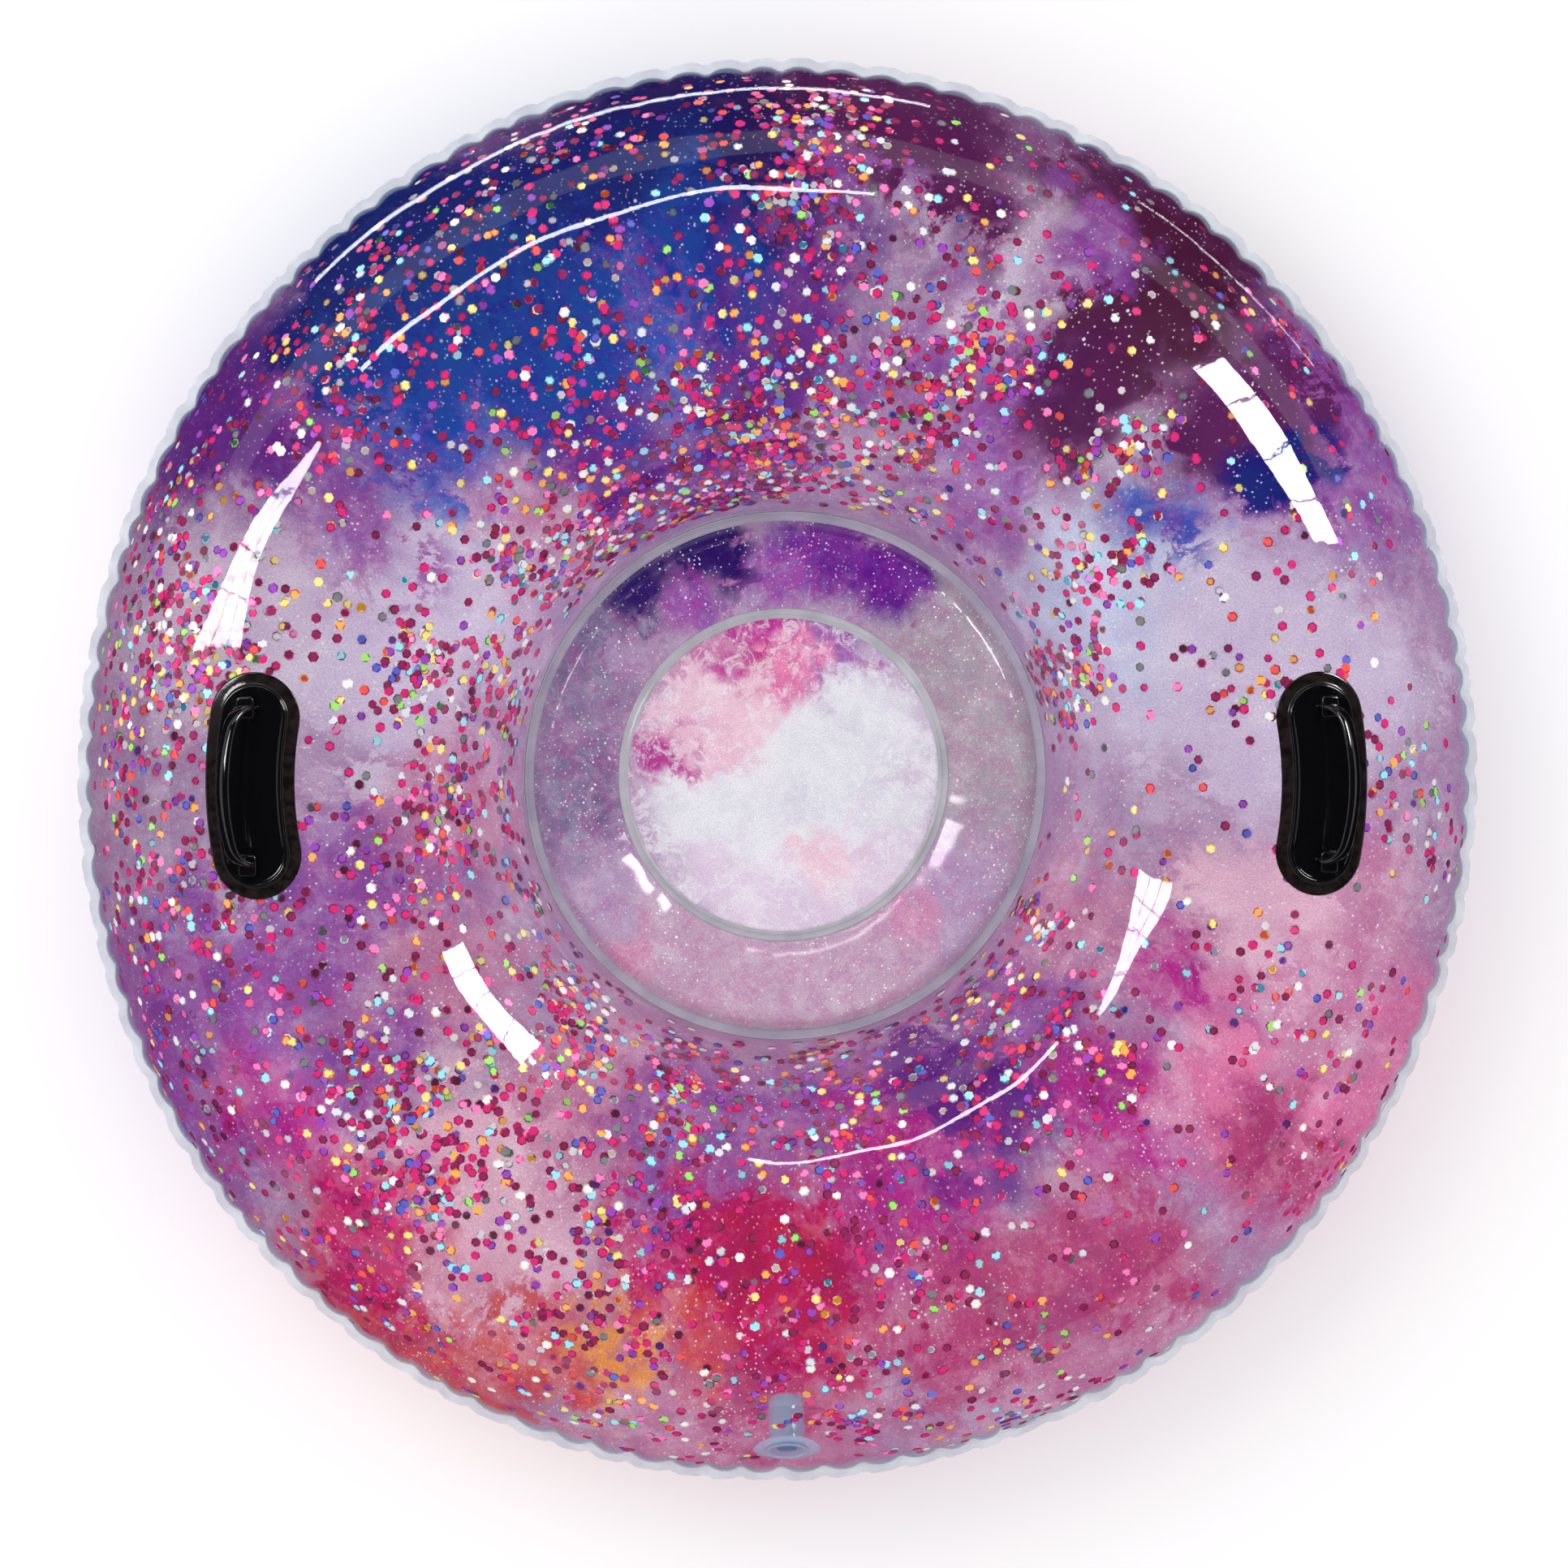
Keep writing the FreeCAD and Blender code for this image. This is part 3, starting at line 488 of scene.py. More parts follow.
def lattice_noise(points, seed, cell):
    """Smooth random values from -1 to 1 over the flat sheet, one new value per cell."""
    size = 128
    table = np.random.default_rng(seed).uniform(-1, 1, (size, size))
    x = points[..., 0] / cell
    y = points[..., 1] / cell
    i = np.floor(x).astype(int)
    j = np.floor(y).astype(int)
    u = eased(x - i)
    v = eased(y - j)
    near_row, far_row = (
        table[i % size, row % size] * (1 - u) + table[(i + 1) % size, row % size] * u
        for row in (j, j + 1)
    )
    return near_row * (1 - v) + far_row * v


def torn_noise(points, seed, cell, octaves=5, roughness=0.62):
    total = 0
    for k in range(octaves):
        total = total + lattice_noise(points, seed + 17 * k, cell / 2**k) * roughness**k
    return total


def tint(points, patches, reach, seed, warp):
    """Broad colour of the print: patches of ink laid one over another, their edges pulled about."""
    shift_x = torn_noise(points, seed, 3.2 * warp) * warp
    shift_y = torn_noise(points, seed + 1000, 3.2 * warp) * warp
    x = points[..., 0] + shift_x
    y = points[..., 1] + shift_y
    colour = np.zeros((*x.shape, 3)) + INKS["mauve"][:3]
    for bearing, radius, size, ink in patches:
        turn_to = math.radians(bearing)
        out = reach(radius * MM)
        gap = np.hypot(x - out * math.cos(turn_to), y - out * math.sin(turn_to)) / (size * MM)
        weight = np.clip((1.0 - gap) / 0.62, 0, 1)
        weight = (0.95 * weight * weight * (3 - 2 * weight))[..., None]
        colour = colour * (1 - weight) + weight * np.array(INKS[ink][:3])
    return colour


def paint(obj, patches, reach, seed, warp):
    """Stores two differently torn versions of the print's broad colour on a piece with print_at."""
    spots = np.empty(len(obj.data.vertices) * 3, np.float32)
    obj.data.attributes["print_at"].data.foreach_get("vector", spots)
    spots = spots.reshape(-1, 3).astype(float)
    for name, offset in (("tint_a", 0), ("tint_b", 5000)):
        store(obj, name, tint(spots, patches, reach, seed + offset, warp))


# each layer of stars: cells per metre, a star's size in its cell, share of empty cells, brightness
STAR_LAYERS = ((115, 0.16, 0.36, 1.0), (230, 0.23, 0.36, 0.85), (42, 0.08, 0.4, 1.0))


def print_material(
    name, grain_scale=1.0, stars=1.0, veil=0.45, wisp=0.6, strands=0.3, tone_and_shade=1.0, frost=0.2
):
    """Printed nebula: torn patches, dark hollows, pale veils, strands, powdery frost, grain and stars."""
    m = Nodes(name)
    where = m.vector("SCALE", m.place("print_at"), scale=grain_scale)
    torn = m.noise(where, 22, 9, 0.72, 0.4)
    colour = m.mix(m.fade(torn, 0.47, 0.53), m.place("tint_a"), m.place("tint_b"))
    light = m.new("ShaderNodeRGBToBW")
    m.link(colour, light.inputs[0])
    light = light.outputs[0]
    cloud = m.noise(where, 13, 9, 0.74, 0.3)
    deep = m.mix(1.0, colour, (0.62, 0.42, 0.76), "MULTIPLY")
    hollow = m.times(m.fade(cloud, 0.5, 0.6, 0.0, wisp), m.fade(light, 0.12, 0.45, 1.0, 0.3))
    colour = m.mix(hollow, colour, deep)
    pale = m.times(m.fade(cloud, 0.5, 0.4, 0.0, veil), m.fade(light, 0.04, 0.3, 0.0, 1.0))
    colour = m.mix(pale, colour, (0.5, 0.44, 0.56), "SCREEN")
    thread = m.maths("ABSOLUTE", m.maths("SUBTRACT", torn, 0.5))
    thread = m.times(m.fade(thread, 0.0, 0.04, strands, 0.0), m.fade(light, 0.45, 0.6, 1.0, 0.0))
    thread = m.times(thread, m.fade(light, 0.05, 0.16))
    colour = m.mix(thread, colour, INKS["orchid"])
    powder = m.fade(m.noise(where, 44, 10, 0.82, 0.8), 0.5, 0.58, 0.0, frost)
    colour = m.mix(m.times(powder, m.fade(light, 0.06, 0.2)), colour, INKS["cloud"])
    rich = m.new("ShaderNodeHueSaturation")
    m.link(m.fade(light, 0.06, 0.4, 1.14, 0.94), rich.inputs["Saturation"])
    # this scales the print's brightness; the floor's lower value is painted shade
    rich.inputs["Value"].default_value = tone_and_shade
    m.link(colour, rich.inputs["Color"])
    grain = m.noise(where, 620, 2, 0.7)
    shade = m.fade(grain, 0.25, 0.75, 0.72, 1.3, smooth=False)
    colour = m.mix(1.0, rich.outputs["Color"], shade, "MULTIPLY")
    crowd = m.fade(m.noise(where, 11, 3), 0.42, 0.6, 0.3, 1.0)
    for scale, size, share, strength in STAR_LAYERS:
        cell = m.new("ShaderNodeTexVoronoi", feature="F1")
        m.link(where, cell.inputs["Vector"])
        cell.inputs["Scale"].default_value = scale
        spot = m.fade(cell.outputs["Distance"], size * 0.5, size, strength * stars, 0.0)
        chosen = m.fade(cell.outputs["Color"], share, share + 0.02)
        lit = m.times(m.times(spot, chosen), crowd)
        colour = m.mix(lit, colour, (0.95, 0.93, 0.98))
    return m, where, colour


def finish_print(m, where, colour, gloss):
    m.set(Base_Color=colour, Roughness=gloss, IOR=1.52)
    m.bump(m.noise(where, 60, 2), 0.12, 0.6 * MM)
    return m.material


def clear_material(name, colour, alpha, metallic=0.0, rough=0.04, scale=70.0, wave=0.5 * MM):
    """Clear vinyl: see-through, with the faint waviness of film in its gloss."""
    m = Nodes(name)
    where = m.new("ShaderNodeTexCoord").outputs["Object"]
    m.set(Base_Color=colour, Roughness=rough, Alpha=alpha, Metallic=metallic, IOR=1.54)
    m.bump(m.noise(where, scale, 2), 0.1, wave)
    return m.material


def weld_material(name, colour, other, alpha=1.0, rough=0.3):
    """Welded film: milky, a little mottled, with fine ribs left by the welding bar."""
    m = Nodes(name)
    where = m.new("ShaderNodeTexCoord").outputs["Object"]
    mottle = m.fade(m.noise(where, 36, 4, 0.5), 0.3, 0.7)
    m.set(Base_Color=m.mix(mottle, colour, other), Roughness=rough, Alpha=alpha, IOR=1.5)
    m.bump(m.noise(where, 700, 2), 0.3, 0.2 * MM)
    return m.material


# the ring's print stops short of both welds, where the bare tinted film shows
margin = 4 * MM
m, where, colour = print_material("ring_print", tone_and_shade=0.95, frost=0.1)
from_middle = m.vector("LENGTH", where)
rough_edge = m.maths("ADD", from_middle, m.times(m.noise(where, 30, 3), 10 * MM))
sheet_edge = bore_radius + arc_length
bare = m.fade(rough_edge, sheet_edge - margin, sheet_edge - margin + 6 * MM, 0.0, 0.7)
teal = m.mix(m.noise(where, 14, 4), linear(176, 206, 214), linear(140, 170, 188))
colour = m.mix(bare, colour, teal)
near_bore = m.fade(from_middle, bore_radius + margin, bore_radius + 2 * margin, 1.0, 0.0)
colour = m.mix(near_bore, colour, linear(160, 158, 170))
ring_print = finish_print(m, where, colour, 0.34)
m.shader.inputs["Specular IOR Level"].default_value = 0.2

# the floor's print is darkened as a whole: painted shade for the sheet lying low under the tube
m, where, colour = print_material(
    "floor_print", grain_scale=1.5, veil=0.25, wisp=0.5, tone_and_shade=0.81, frost=0.14
)
floor_print = finish_print(m, where, colour, 0.12)
m, where, colour = print_material(
    "panel_print", grain_scale=1.8, stars=0.6, veil=0.6, wisp=0.5, strands=0.5, tone_and_shade=0.84, frost=0.65
)
panel_print = finish_print(m, where, colour, 0.36)

clear_film = clear_material("clear_film", (0.94, 0.95, 1.0, 1.0), 0.035, metallic=0.9, rough=0.03)
flange_film = weld_material("flange_film", linear(214, 222, 230), linear(186, 190, 206), 0.42, 0.14)
bore_film = weld_material("bore_film", linear(196, 186, 206), linear(176, 168, 190), 0.8, 0.16)
weld_film = weld_material("weld_film", linear(186, 184, 192), linear(166, 164, 174), 0.94, 0.16)


# ---------------------------------------------------------------- ring
around = puckers * 8
across = 60
theta = np.linspace(0, TAU, around, endpoint=False)[:, None]
share = 1 - (1 - np.linspace(0, 1, across)[None, :]) ** 1.35


flat_sheet = film_place(theta, share)
ring_top = closed_sheet(
    "ring_top_film",
    tube_point(theta, share, 1),
    tube_point(theta, share, 1, -skin),
    clear_film,
)
ring_base = closed_sheet(
    "ring_base_film",
    tube_point(theta, share, -1),
    tube_point(theta, share, -1, -skin),
    ring_print,
    flat_sheet,
)
paint(ring_base, RING_PATCHES, ring_reach, 3, 30 * MM)
settle(ring_top, "ring_top_skin")
settle(ring_base, "ring_base_skin")


def seam_strip():
    """The two films welded flat outside the tube: scalloped by the puckers and slightly ruffled."""
    edge = tube_point(theta, 1.0, 1)
    start = np.hypot(edge[..., 0], edge[..., 1])
    phase = crease_phase(theta)
    lobe = 0.5 + 0.5 * np.cos(phase + math.pi)
    width = 5.2 * MM + 1.6 * MM * (1 - lobe) ** 0.6 + uneven(theta, 61, (13, 29, 47), 0.25 * MM)
    rows = np.array([0.0, 0.12, 0.3, 0.55, 0.8, 0.94, 1.0])[None, :]
    half = np.array([0.62, 0.5, 0.42, 0.42, 0.45, 0.4, 0.2])[None, :] * MM
    ruffle = 1.1 * MM * np.sin(phase + 0.6 * np.sin(3 * theta)) + uneven(theta, 62, (9, 21, 38), 0.5 * MM)
    middle = seam_z + ruffle * rows**1.3
    reach = start + 0.05 * MM + width * rows
    across_x = reach * np.cos(theta)
    across_y = reach * np.sin(theta)
    upper = np.stack([across_x, across_y, middle + half], -1)
    lower = np.stack([across_x, across_y, middle - half], -1)
    return closed_sheet("outer_seam_strip", upper, lower, flange_film)


seam = seam_strip()
settle(seam, "outer_seam_flange")


# ---------------------------------------------------------------- bore band, floor cushion, panel
spokes = 720
turn = np.linspace(0, TAU, spokes, endpoint=False)[:, None]


def plan(turn, radius, z):
    """Points at a radius in plan. The outline follows the bore's unevenness, less towards the centre."""
    turn, radius, z = np.broadcast_arrays(turn, radius, z)
    reach = radius + bore_shift(turn) * (radius / bore_radius) ** 2
    return np.stack([reach * np.cos(turn), reach * np.sin(turn), z], -1)


def plan_place(turn, radius):
    turn, radius = np.broadcast_arrays(turn, radius)
    return np.stack([radius * np.cos(turn), radius * np.sin(turn), np.zeros_like(radius)], -1)


def flat_ring(name, profile, material, sag=0.0):
    """A welded ring from a closed profile of (radius, height) points."""
    radius = np.array([p[0] for p in profile])[None, :]
    height = np.array([p[1] for p in profile])[None, :]
    wave = uneven(turn, 71, (5, 8, 13), sag)
    return closed_ring(name, plan(turn, radius, height + wave), material)


weld_foot, weld_top = band_z
band_in = band_radius - 11 * MM
band_out = bore_radius - 0.1 * MM
bead = 0.9 * MM
band_profile = (
    (band_in, weld_foot),
    (band_out, weld_foot),
    (band_out + 0.05 * MM, seam_z),
    (band_out, weld_top + bead),
    (band_out - 0.7 * MM, weld_top + bead * 1.2),
    (band_out - 1.6 * MM, weld_top + 0.1 * MM),
    (band_in + 4 * MM, weld_top),
    (band_in, weld_top),
)
bore_band = flat_ring("bore_weld_band", band_profile, bore_film)
settle(bore_band, "bore_seam_band")

cushion_rows = 24
cushion_in = floor_inner - 1.5 * MM
cushion_middle = (floor_outer + cushion_in) / 2
chord = floor_outer - cushion_in
rows = np.linspace(0, 1, cushion_rows)[None, :]
valve_hold = (16 * MM, 34 * MM)
tuck = 0.5 * MM
broad_wave = 0.6 * MM
tuck_share = 0.7
crest_place = 0.2


def cushion_height(across, side):
    """Height of the cushion's film over its weld. The top has a crest beside the bore and a long slope
    inward. The underside is even, with a broad flat where its valve sits."""
    across = np.asarray(across)
    if side < 0:
        return bulge * (1 - np.abs(across) ** 2.6)
    inward = (1 - across) / 2
    from_crest = (inward - crest_place) / np.where(inward < crest_place, crest_place, 1 - crest_place)
    return bulge * (1 - from_crest**2)


def cushion_face(side, lift):
    """One face of the floor cushion's film, with small tucks beside both welds."""
    across = 1 - 2 * (0.5 - 0.5 * np.cos(math.pi * rows))
    near_out = np.clip(1 - (1 - across) / tuck_share, 0, 1) ** 1.5
    near_in = np.clip(1 - (1 + across) / tuck_share, 0, 1) ** 1.5
    fine = uneven(turn, 81, (41, 53, 67, 79), tuck) * near_out
    fine = fine + uneven(turn, 82, (29, 37, 47), 0.9 * tuck) * near_in
    broad = uneven(turn, 83 + side, (2, 3, 5, 7), broad_wave)
    radius = cushion_middle + across * (chord / 2 + lift * np.abs(across) ** 6)
    to_valve = np.hypot(radius * np.cos(turn), radius * np.sin(turn) - floor_valve_y)
    held = np.clip((valve_hold[1] - to_valve) / (valve_hold[1] - valve_hold[0]), 0, 1) * (side < 0)
    calm = (1 - across**2) ** 0.5 * (1 - held)
    height = cushion_height(across, side) + lift + (fine + broad) * calm
    height = np.maximum(height, skin + lift + 0.02 * MM)
    level = weld_top if side > 0 else weld_foot
    return plan(turn, radius, level + side * height), plan_place(turn, radius)


FLOOR_FILMS = ((1, "floor_top_sheet", "floor_top_film"), (-1, "floor_base_sheet", "floor_base_film"))
for side, node, name in FLOOR_FILMS:
    outer_face, place = cushion_face(side, 0.0)
    inner_face, _ = cushion_face(side, -skin)
    sheet = closed_sheet(name, outer_face, inner_face, floor_print, place)
    paint(sheet, FLOOR_PATCHES, as_seen, 7, 10 * MM)
    settle(sheet, node)

ridge = 0.7 * MM
weld_profile = (
    (floor_inner - 8.6 * MM, weld_foot),
    (floor_inner, weld_foot),
    (floor_inner, weld_top),
    (floor_inner - 1.4 * MM, weld_top),
    (floor_inner - 1.9 * MM, weld_top + ridge),
    (floor_inner - 2.7 * MM, weld_top + ridge),
    (floor_inner - 3.4 * MM, weld_top + 0.1 * MM),
    (floor_inner - 5.8 * MM, weld_top + 0.1 * MM),
    (floor_inner - 6.4 * MM, weld_top + ridge),
    (floor_inner - 7.2 * MM, weld_top + ridge),
    (floor_inner - 7.9 * MM, weld_top),
    (floor_inner - 8.6 * MM, weld_top),
)
inner_weld = flat_ring("floor_weld_ring", weld_profile, weld_film)
settle(inner_weld, "floor_inner_weld")

# the centre panel: one soft sheet with shallow waves, lapped over the inner weld
panel_steps = 34
panel_rings = np.concatenate([[0.3 * MM], np.linspace(3 * MM, panel_radius, panel_steps)])[None, :]
panel_wave = 0.55 * MM


def panel_face(lift):
    waves = np.zeros_like(turn + panel_rings)
    source = np.random.default_rng(91)
    x = panel_rings * np.cos(turn)
    y = panel_rings * np.sin(turn)
    for _ in range(7):
        heading = source.uniform(0, TAU)
        pitch = TAU / source.uniform(55 * MM, 150 * MM)
        along = x * math.cos(heading) + y * math.sin(heading)
        waves = waves + np.sin(along * pitch + source.uniform(0, TAU))
    calm = 1 - (panel_rings / panel_radius) ** 6
    near_edge = np.exp(-(panel_radius - panel_rings) / (9 * MM))
    pucks = uneven(turn, 92, (19, 26, 33, 41), 0.3 * MM) * near_edge
    height = sum(panel_z) / 2 + panel_wave * waves * calm + pucks * (panel_rings < panel_radius)
    return plan(turn, panel_rings, height + lift)


def disc_mesh(name, upper, lower, material, place):
    """A round sheet from its two faces, closed at the middle by a small polygon."""
    around_count, across_count = upper.shape[:2]
    verts = np.concatenate([upper.reshape(-1, 3), lower.reshape(-1, 3)])
    half = around_count * across_count
    faces = wrap_faces(around_count, across_count)
    faces += wrap_faces(around_count, across_count, first=half, flip=True)
    faces.append([i * across_count for i in range(around_count)])
    faces.append([half + i * across_count for i in reversed(range(around_count))])
    for i in range(around_count):
        a = i * across_count + across_count - 1
        b = (i + 1) % around_count * across_count + across_count - 1
        faces.append((a, b, half + b, half + a))
    obj = add_object(name, verts, faces, [material])
    store(obj, "print_at", np.concatenate([place.reshape(-1, 3)] * 2))
    fix_normals(obj)
    return obj


panel_half = (panel_z[1] - panel_z[0]) / 2
panel = disc_mesh(
    "floor_centre_sheet",
    panel_face(panel_half),
    panel_face(-panel_half),
    panel_print,
    plan_place(turn, panel_rings),
)
paint(panel, PANEL_PATCHES, as_seen, 11, 18 * MM)
settle(panel, "floor_centre_panel")


# ---------------------------------------------------------------- handles
m = Nodes("black_vinyl")
spot = m.new("ShaderNodeTexCoord").outputs["Object"]
m.set(Base_Color=(0.003, 0.0028, 0.0036, 1.0), Roughness=0.1, IOR=1.7)
m.bump(m.noise(spot, 240, 4), 0.12, 0.4 * MM)
black_vinyl = m.material

m = Nodes("smoky_border")
spot = m.new("ShaderNodeTexCoord").outputs["Object"]
cloudy = m.fade(m.noise(spot, 160, 4), 0.35, 0.65)
m.set(Base_Color=m.mix(cloudy, linear(36, 29, 29), linear(18, 14, 15)), Roughness=0.12, IOR=1.6)
m.bump(m.noise(spot, 260, 3), 0.2, 0.4 * MM)
smoky_border = m.material

right_high = box("handle_right")[1]
handle_bend = 250 * MM
lug_offset = 51 * MM
handle_radius = 352 * MM
pad_half = right_high.x - handle_radius
pad_length = right_high.y
pad_spine = (pad_length - pad_half) / handle_bend
bend_centre = handle_radius - handle_bend
seat = 0.15 * MM


def pad_outline(inset, count_side, count_cap, half):
    """Plan points of the pad's outline drawn in by an inset, in order round the pad."""
    reach = half - inset
    end = (bend_centre + handle_bend * math.cos(pad_spine), handle_bend * math.sin(pad_spine))
    points = []
    for side, turned_from in ((1, pad_spine), (-1, math.pi - pad_spine)):
        radius = handle_bend + side * reach
        for k in range(count_side):
            a = side * pad_spine * (2 * k / (count_side - 1) - 1)
            points.append((bend_centre + radius * math.cos(a), radius * math.sin(a)))
        for k in range(1, count_cap):
            a = turned_from + math.pi * k / count_cap
            points.append((end[0] + reach * math.cos(a), side * end[1] + reach * math.sin(a)))
    return np.array(points)


def on_tube(plan_points, lift):
    """Lays plan points on the tube's top film at a lift above it."""
    reach = np.hypot(plan_points[:, 0], plan_points[:, 1])
    bearing = np.arctan2(plan_points[:, 1], plan_points[:, 0])
    return tube_point(bearing, share_of(reach), 1, lift)


def loft(name, rings, materials, bands=None, caps=True, weld=False):
    """A closed skin over a stack of rings of points. bands gives each step's material slot."""
    steps, count = len(rings), len(rings[0])
    verts = np.concatenate(rings)
    faces = []
    slots = []
    for k in range(steps - 1):
        for i in range(count):
            j = (i + 1) % count
            faces.append((k * count + i, k * count + j, (k + 1) * count + j, (k + 1) * count + i))
            slots.append(0 if bands is None else bands[k])
    if caps:
        faces.append(tuple(reversed(range(count))))
        faces.append(tuple((steps - 1) * count + i for i in range(count)))
        slots += [0, 0]
    obj = add_object(name, verts, faces, materials)
    obj.data.polygons.foreach_set("material_index", slots)
    if weld:
        with mesh_work(obj) as work:
            bmesh.ops.remove_doubles(work, verts=work.verts, dist=0.02 * MM)
    fix_normals(obj)
    return obj


def join_meshes(target, extras):
    """Puts the extra objects' meshes into the target's and drops the extras."""
    with mesh_work(target) as work:
        for extra in extras:
            names = [slot.name for slot in target.data.materials]
            lookup = []
            for material in extra.data.materials:
                if material.name not in names:
                    target.data.materials.append(material)
                    names.append(material.name)
                lookup.append(names.index(material.name))
            start = len(work.faces)
            work.from_mesh(extra.data)
            work.faces.ensure_lookup_table()
            for face in work.faces[start:]:
                face.material_index = lookup[face.material_index]
            bpy.data.objects.remove(extra)
    return target


# inset from the edge and height over the film, mm
PAD_PROFILE = (
    (29.5, 0.0), (16.0, 0.0), (0.3, 0.0), (0.0, 0.35), (0.1, 0.85), (0.5, 1.15), (1.6, 1.3),
    (4.5, 1.25), (7.1, 1.3), (7.8, 1.6), (8.2, 2.6), (8.5, 3.9), (8.9, 4.6), (9.5, 4.85),
    (10.2, 4.8), (10.8, 4.4), (11.3, 3.6), (11.9, 3.2), (13.1, 3.1), (18.0, 3.35), (24.0, 3.6),
    (29.5, 3.7),
)
BORDER_INSET = 8.0
LUG_TOP = 10 * MM
GRIP_HALF = (4.9 * MM, 2.5 * MM)
GRIP_SQUARE = 0.75
LUG_PROFILE = ((0.6, 2.6), (0.0, 3.4), (0.0, 8.6), (0.35, 9.5), (1.0, 10.0), (2.0, 10.15), (4.0, 10.2))
lug_half = (5.7 * MM, 7.1 * MM)
grip_turn = 18 * MM
grip_slope = math.radians(18)
grip_tilt = math.radians(50)
grip_sink = 4.2 * MM


def lug_outline(inset, corner=2.4 * MM, steps=5):
    points = []
    for quarter in range(4):
        sx = (1, -1, -1, 1)[quarter]
        sy = (1, 1, -1, -1)[quarter]
        for k in range(steps):
            a = math.pi / 2 * (quarter + k / (steps - 1))
            r = max(corner - inset, 0.3 * MM)
            x = sx * (lug_half[0] - inset - r) + r * math.cos(a)
            y = sy * (lug_half[1] - inset - r) + r * math.sin(a)
            points.append((x, y))
    return np.array(points)


def grip_path():
    """Along the grip: distance along the pad and rise in the bow's own plane, with its slope."""
    knee = lug_offset - grip_turn + grip_turn * math.sin(grip_slope)
    crown = knee / math.sin(grip_slope)
    middle = grip_turn * math.cos(grip_slope) - crown * math.cos(grip_slope)
    points = [(lug_offset, -1.5 * MM, math.pi / 2)]
    for k in range(11):
        a = (math.pi / 2 - grip_slope) * k / 10
        y = lug_offset - grip_turn + grip_turn * math.cos(a)
        points.append((y, grip_turn * math.sin(a), math.pi / 2 - a))
    for k in range(1, 24):
        a = math.pi / 2 - grip_slope + 2 * grip_slope * k / 24
        points.append((crown * math.cos(a), middle + crown * math.sin(a), math.pi / 2 - a))
    points += [(-y, w, -slope) for y, w, slope in reversed(points[:12])]
    return points


def handle_pad(name):
    """The pad with its raised ridge and thin border."""
    rings = []
    for inset, lift in PAD_PROFILE:
        outline = pad_outline(min(inset * MM, pad_half), 36, 20, pad_half)
        rings.append(on_tube(outline, seat + lift * MM))
    bands = [1 if inset < BORDER_INSET else 0 for inset, _ in PAD_PROFILE[:-1]]
    return loft(name, rings, [black_vinyl, smoky_border], bands, caps=False, weld=True)


def handle_lug(end):
    rings = []
    for inset, lift in LUG_PROFILE:
        outline = lug_outline(inset * MM) + np.array([handle_radius, end * lug_offset])
        rings.append(on_tube(outline, seat + lift * MM))
    return loft("lug", rings, [black_vinyl])


def handle_grip():
    """The bowed strap grip, from inside one lug to inside the other."""
    lug_seat = on_tube(np.array([[handle_radius, lug_offset]]), seat + LUG_TOP)[0]
    foot = np.array([handle_radius, 0, lug_seat[2] - grip_sink])
    bow = np.array([math.cos(grip_tilt), 0, math.sin(grip_tilt)])
    along = np.array([0.0, 1.0, 0.0])
    broad = np.cross(along, bow)
    sections = []
    for y, w, slope in grip_path():
        centre = foot + along * y + bow * w
        thin = along * math.sin(slope) + bow * math.cos(slope)
        flare = 1 + 0.16 * abs(y / lug_offset) ** 6
        ring = []
        for k in range(24):
            a = TAU * k / 24
            c, s = math.cos(a), math.sin(a)
            u = GRIP_HALF[0] * flare * math.copysign(abs(c) ** GRIP_SQUARE, c)
            v = GRIP_HALF[1] * math.copysign(abs(s) ** GRIP_SQUARE, s)
            ring.append(centre + broad * u + thin * v)
        sections.append(np.array(ring))
    return loft("grip", sections, [black_vinyl])


def build_handle(side, node, name):
    """A moulded handle: pad, two lugs and grip in one piece."""
    handle = handle_pad(name)
    join_meshes(handle, [handle_lug(-1), handle_lug(1), handle_grip()])
    if side < 0:
        handle.data.transform(Matrix.Rotation(math.pi, 4, "Z"))
        lay_on_film(handle)
    settle(handle, node)


def lay_on_film(handle):
    """After turning a handle to the other side, moves each point by the change in the film's height."""
    count = len(handle.data.vertices)
    spots = np.empty(count * 3)
    handle.data.vertices.foreach_get("co", spots)
    spots = spots.reshape(-1, 3)
    reach = np.hypot(spots[:, 0], spots[:, 1])
    bearing = np.arctan2(spots[:, 1], spots[:, 0])
    here = tube_point(bearing, share_of(reach), 1)[:, 2]
    there = tube_point(bearing + math.pi, share_of(reach), 1)[:, 2]
    spots[:, 2] += here - there
    handle.data.vertices.foreach_set("co", spots.ravel())
    handle.data.update()


build_handle(1, "handle_right", "handle_right_moulding")
build_handle(-1, "handle_left", "handle_left_moulding")


# ---------------------------------------------------------------- valves
valve_film = clear_material(
    "valve_vinyl", linear(172, 184, 214), 0.44, rough=0.08, scale=160.0, wave=0.2 * MM
)
valve_solid = clear_material("valve_plug_vinyl", linear(100, 120, 164), 0.75, rough=0.1, scale=160.0)


def turned(name, profile, place, material, segments=48):
    """A round body from (radius, height) pairs. place(u, v, height) gives the point for an offset."""
    angles = [TAU * k / segments for k in range(segments)]
    rings = [
        np.array([place(radius * math.cos(a), radius * math.sin(a), height) for a in angles])
        for radius, height in profile
    ]
    return loft(name, rings, [material], caps=False, weld=True)


def about_axis(centre, axis):
    """Places offsets square to an axis through a point, and heights along it."""
    up = Vector(axis).normalized()
    first = up.orthogonal().normalized()
    second = up.cross(first)

    def place(u, v, height):
        return tuple(Vector(centre) + up * height + first * u + second * v)

    return place


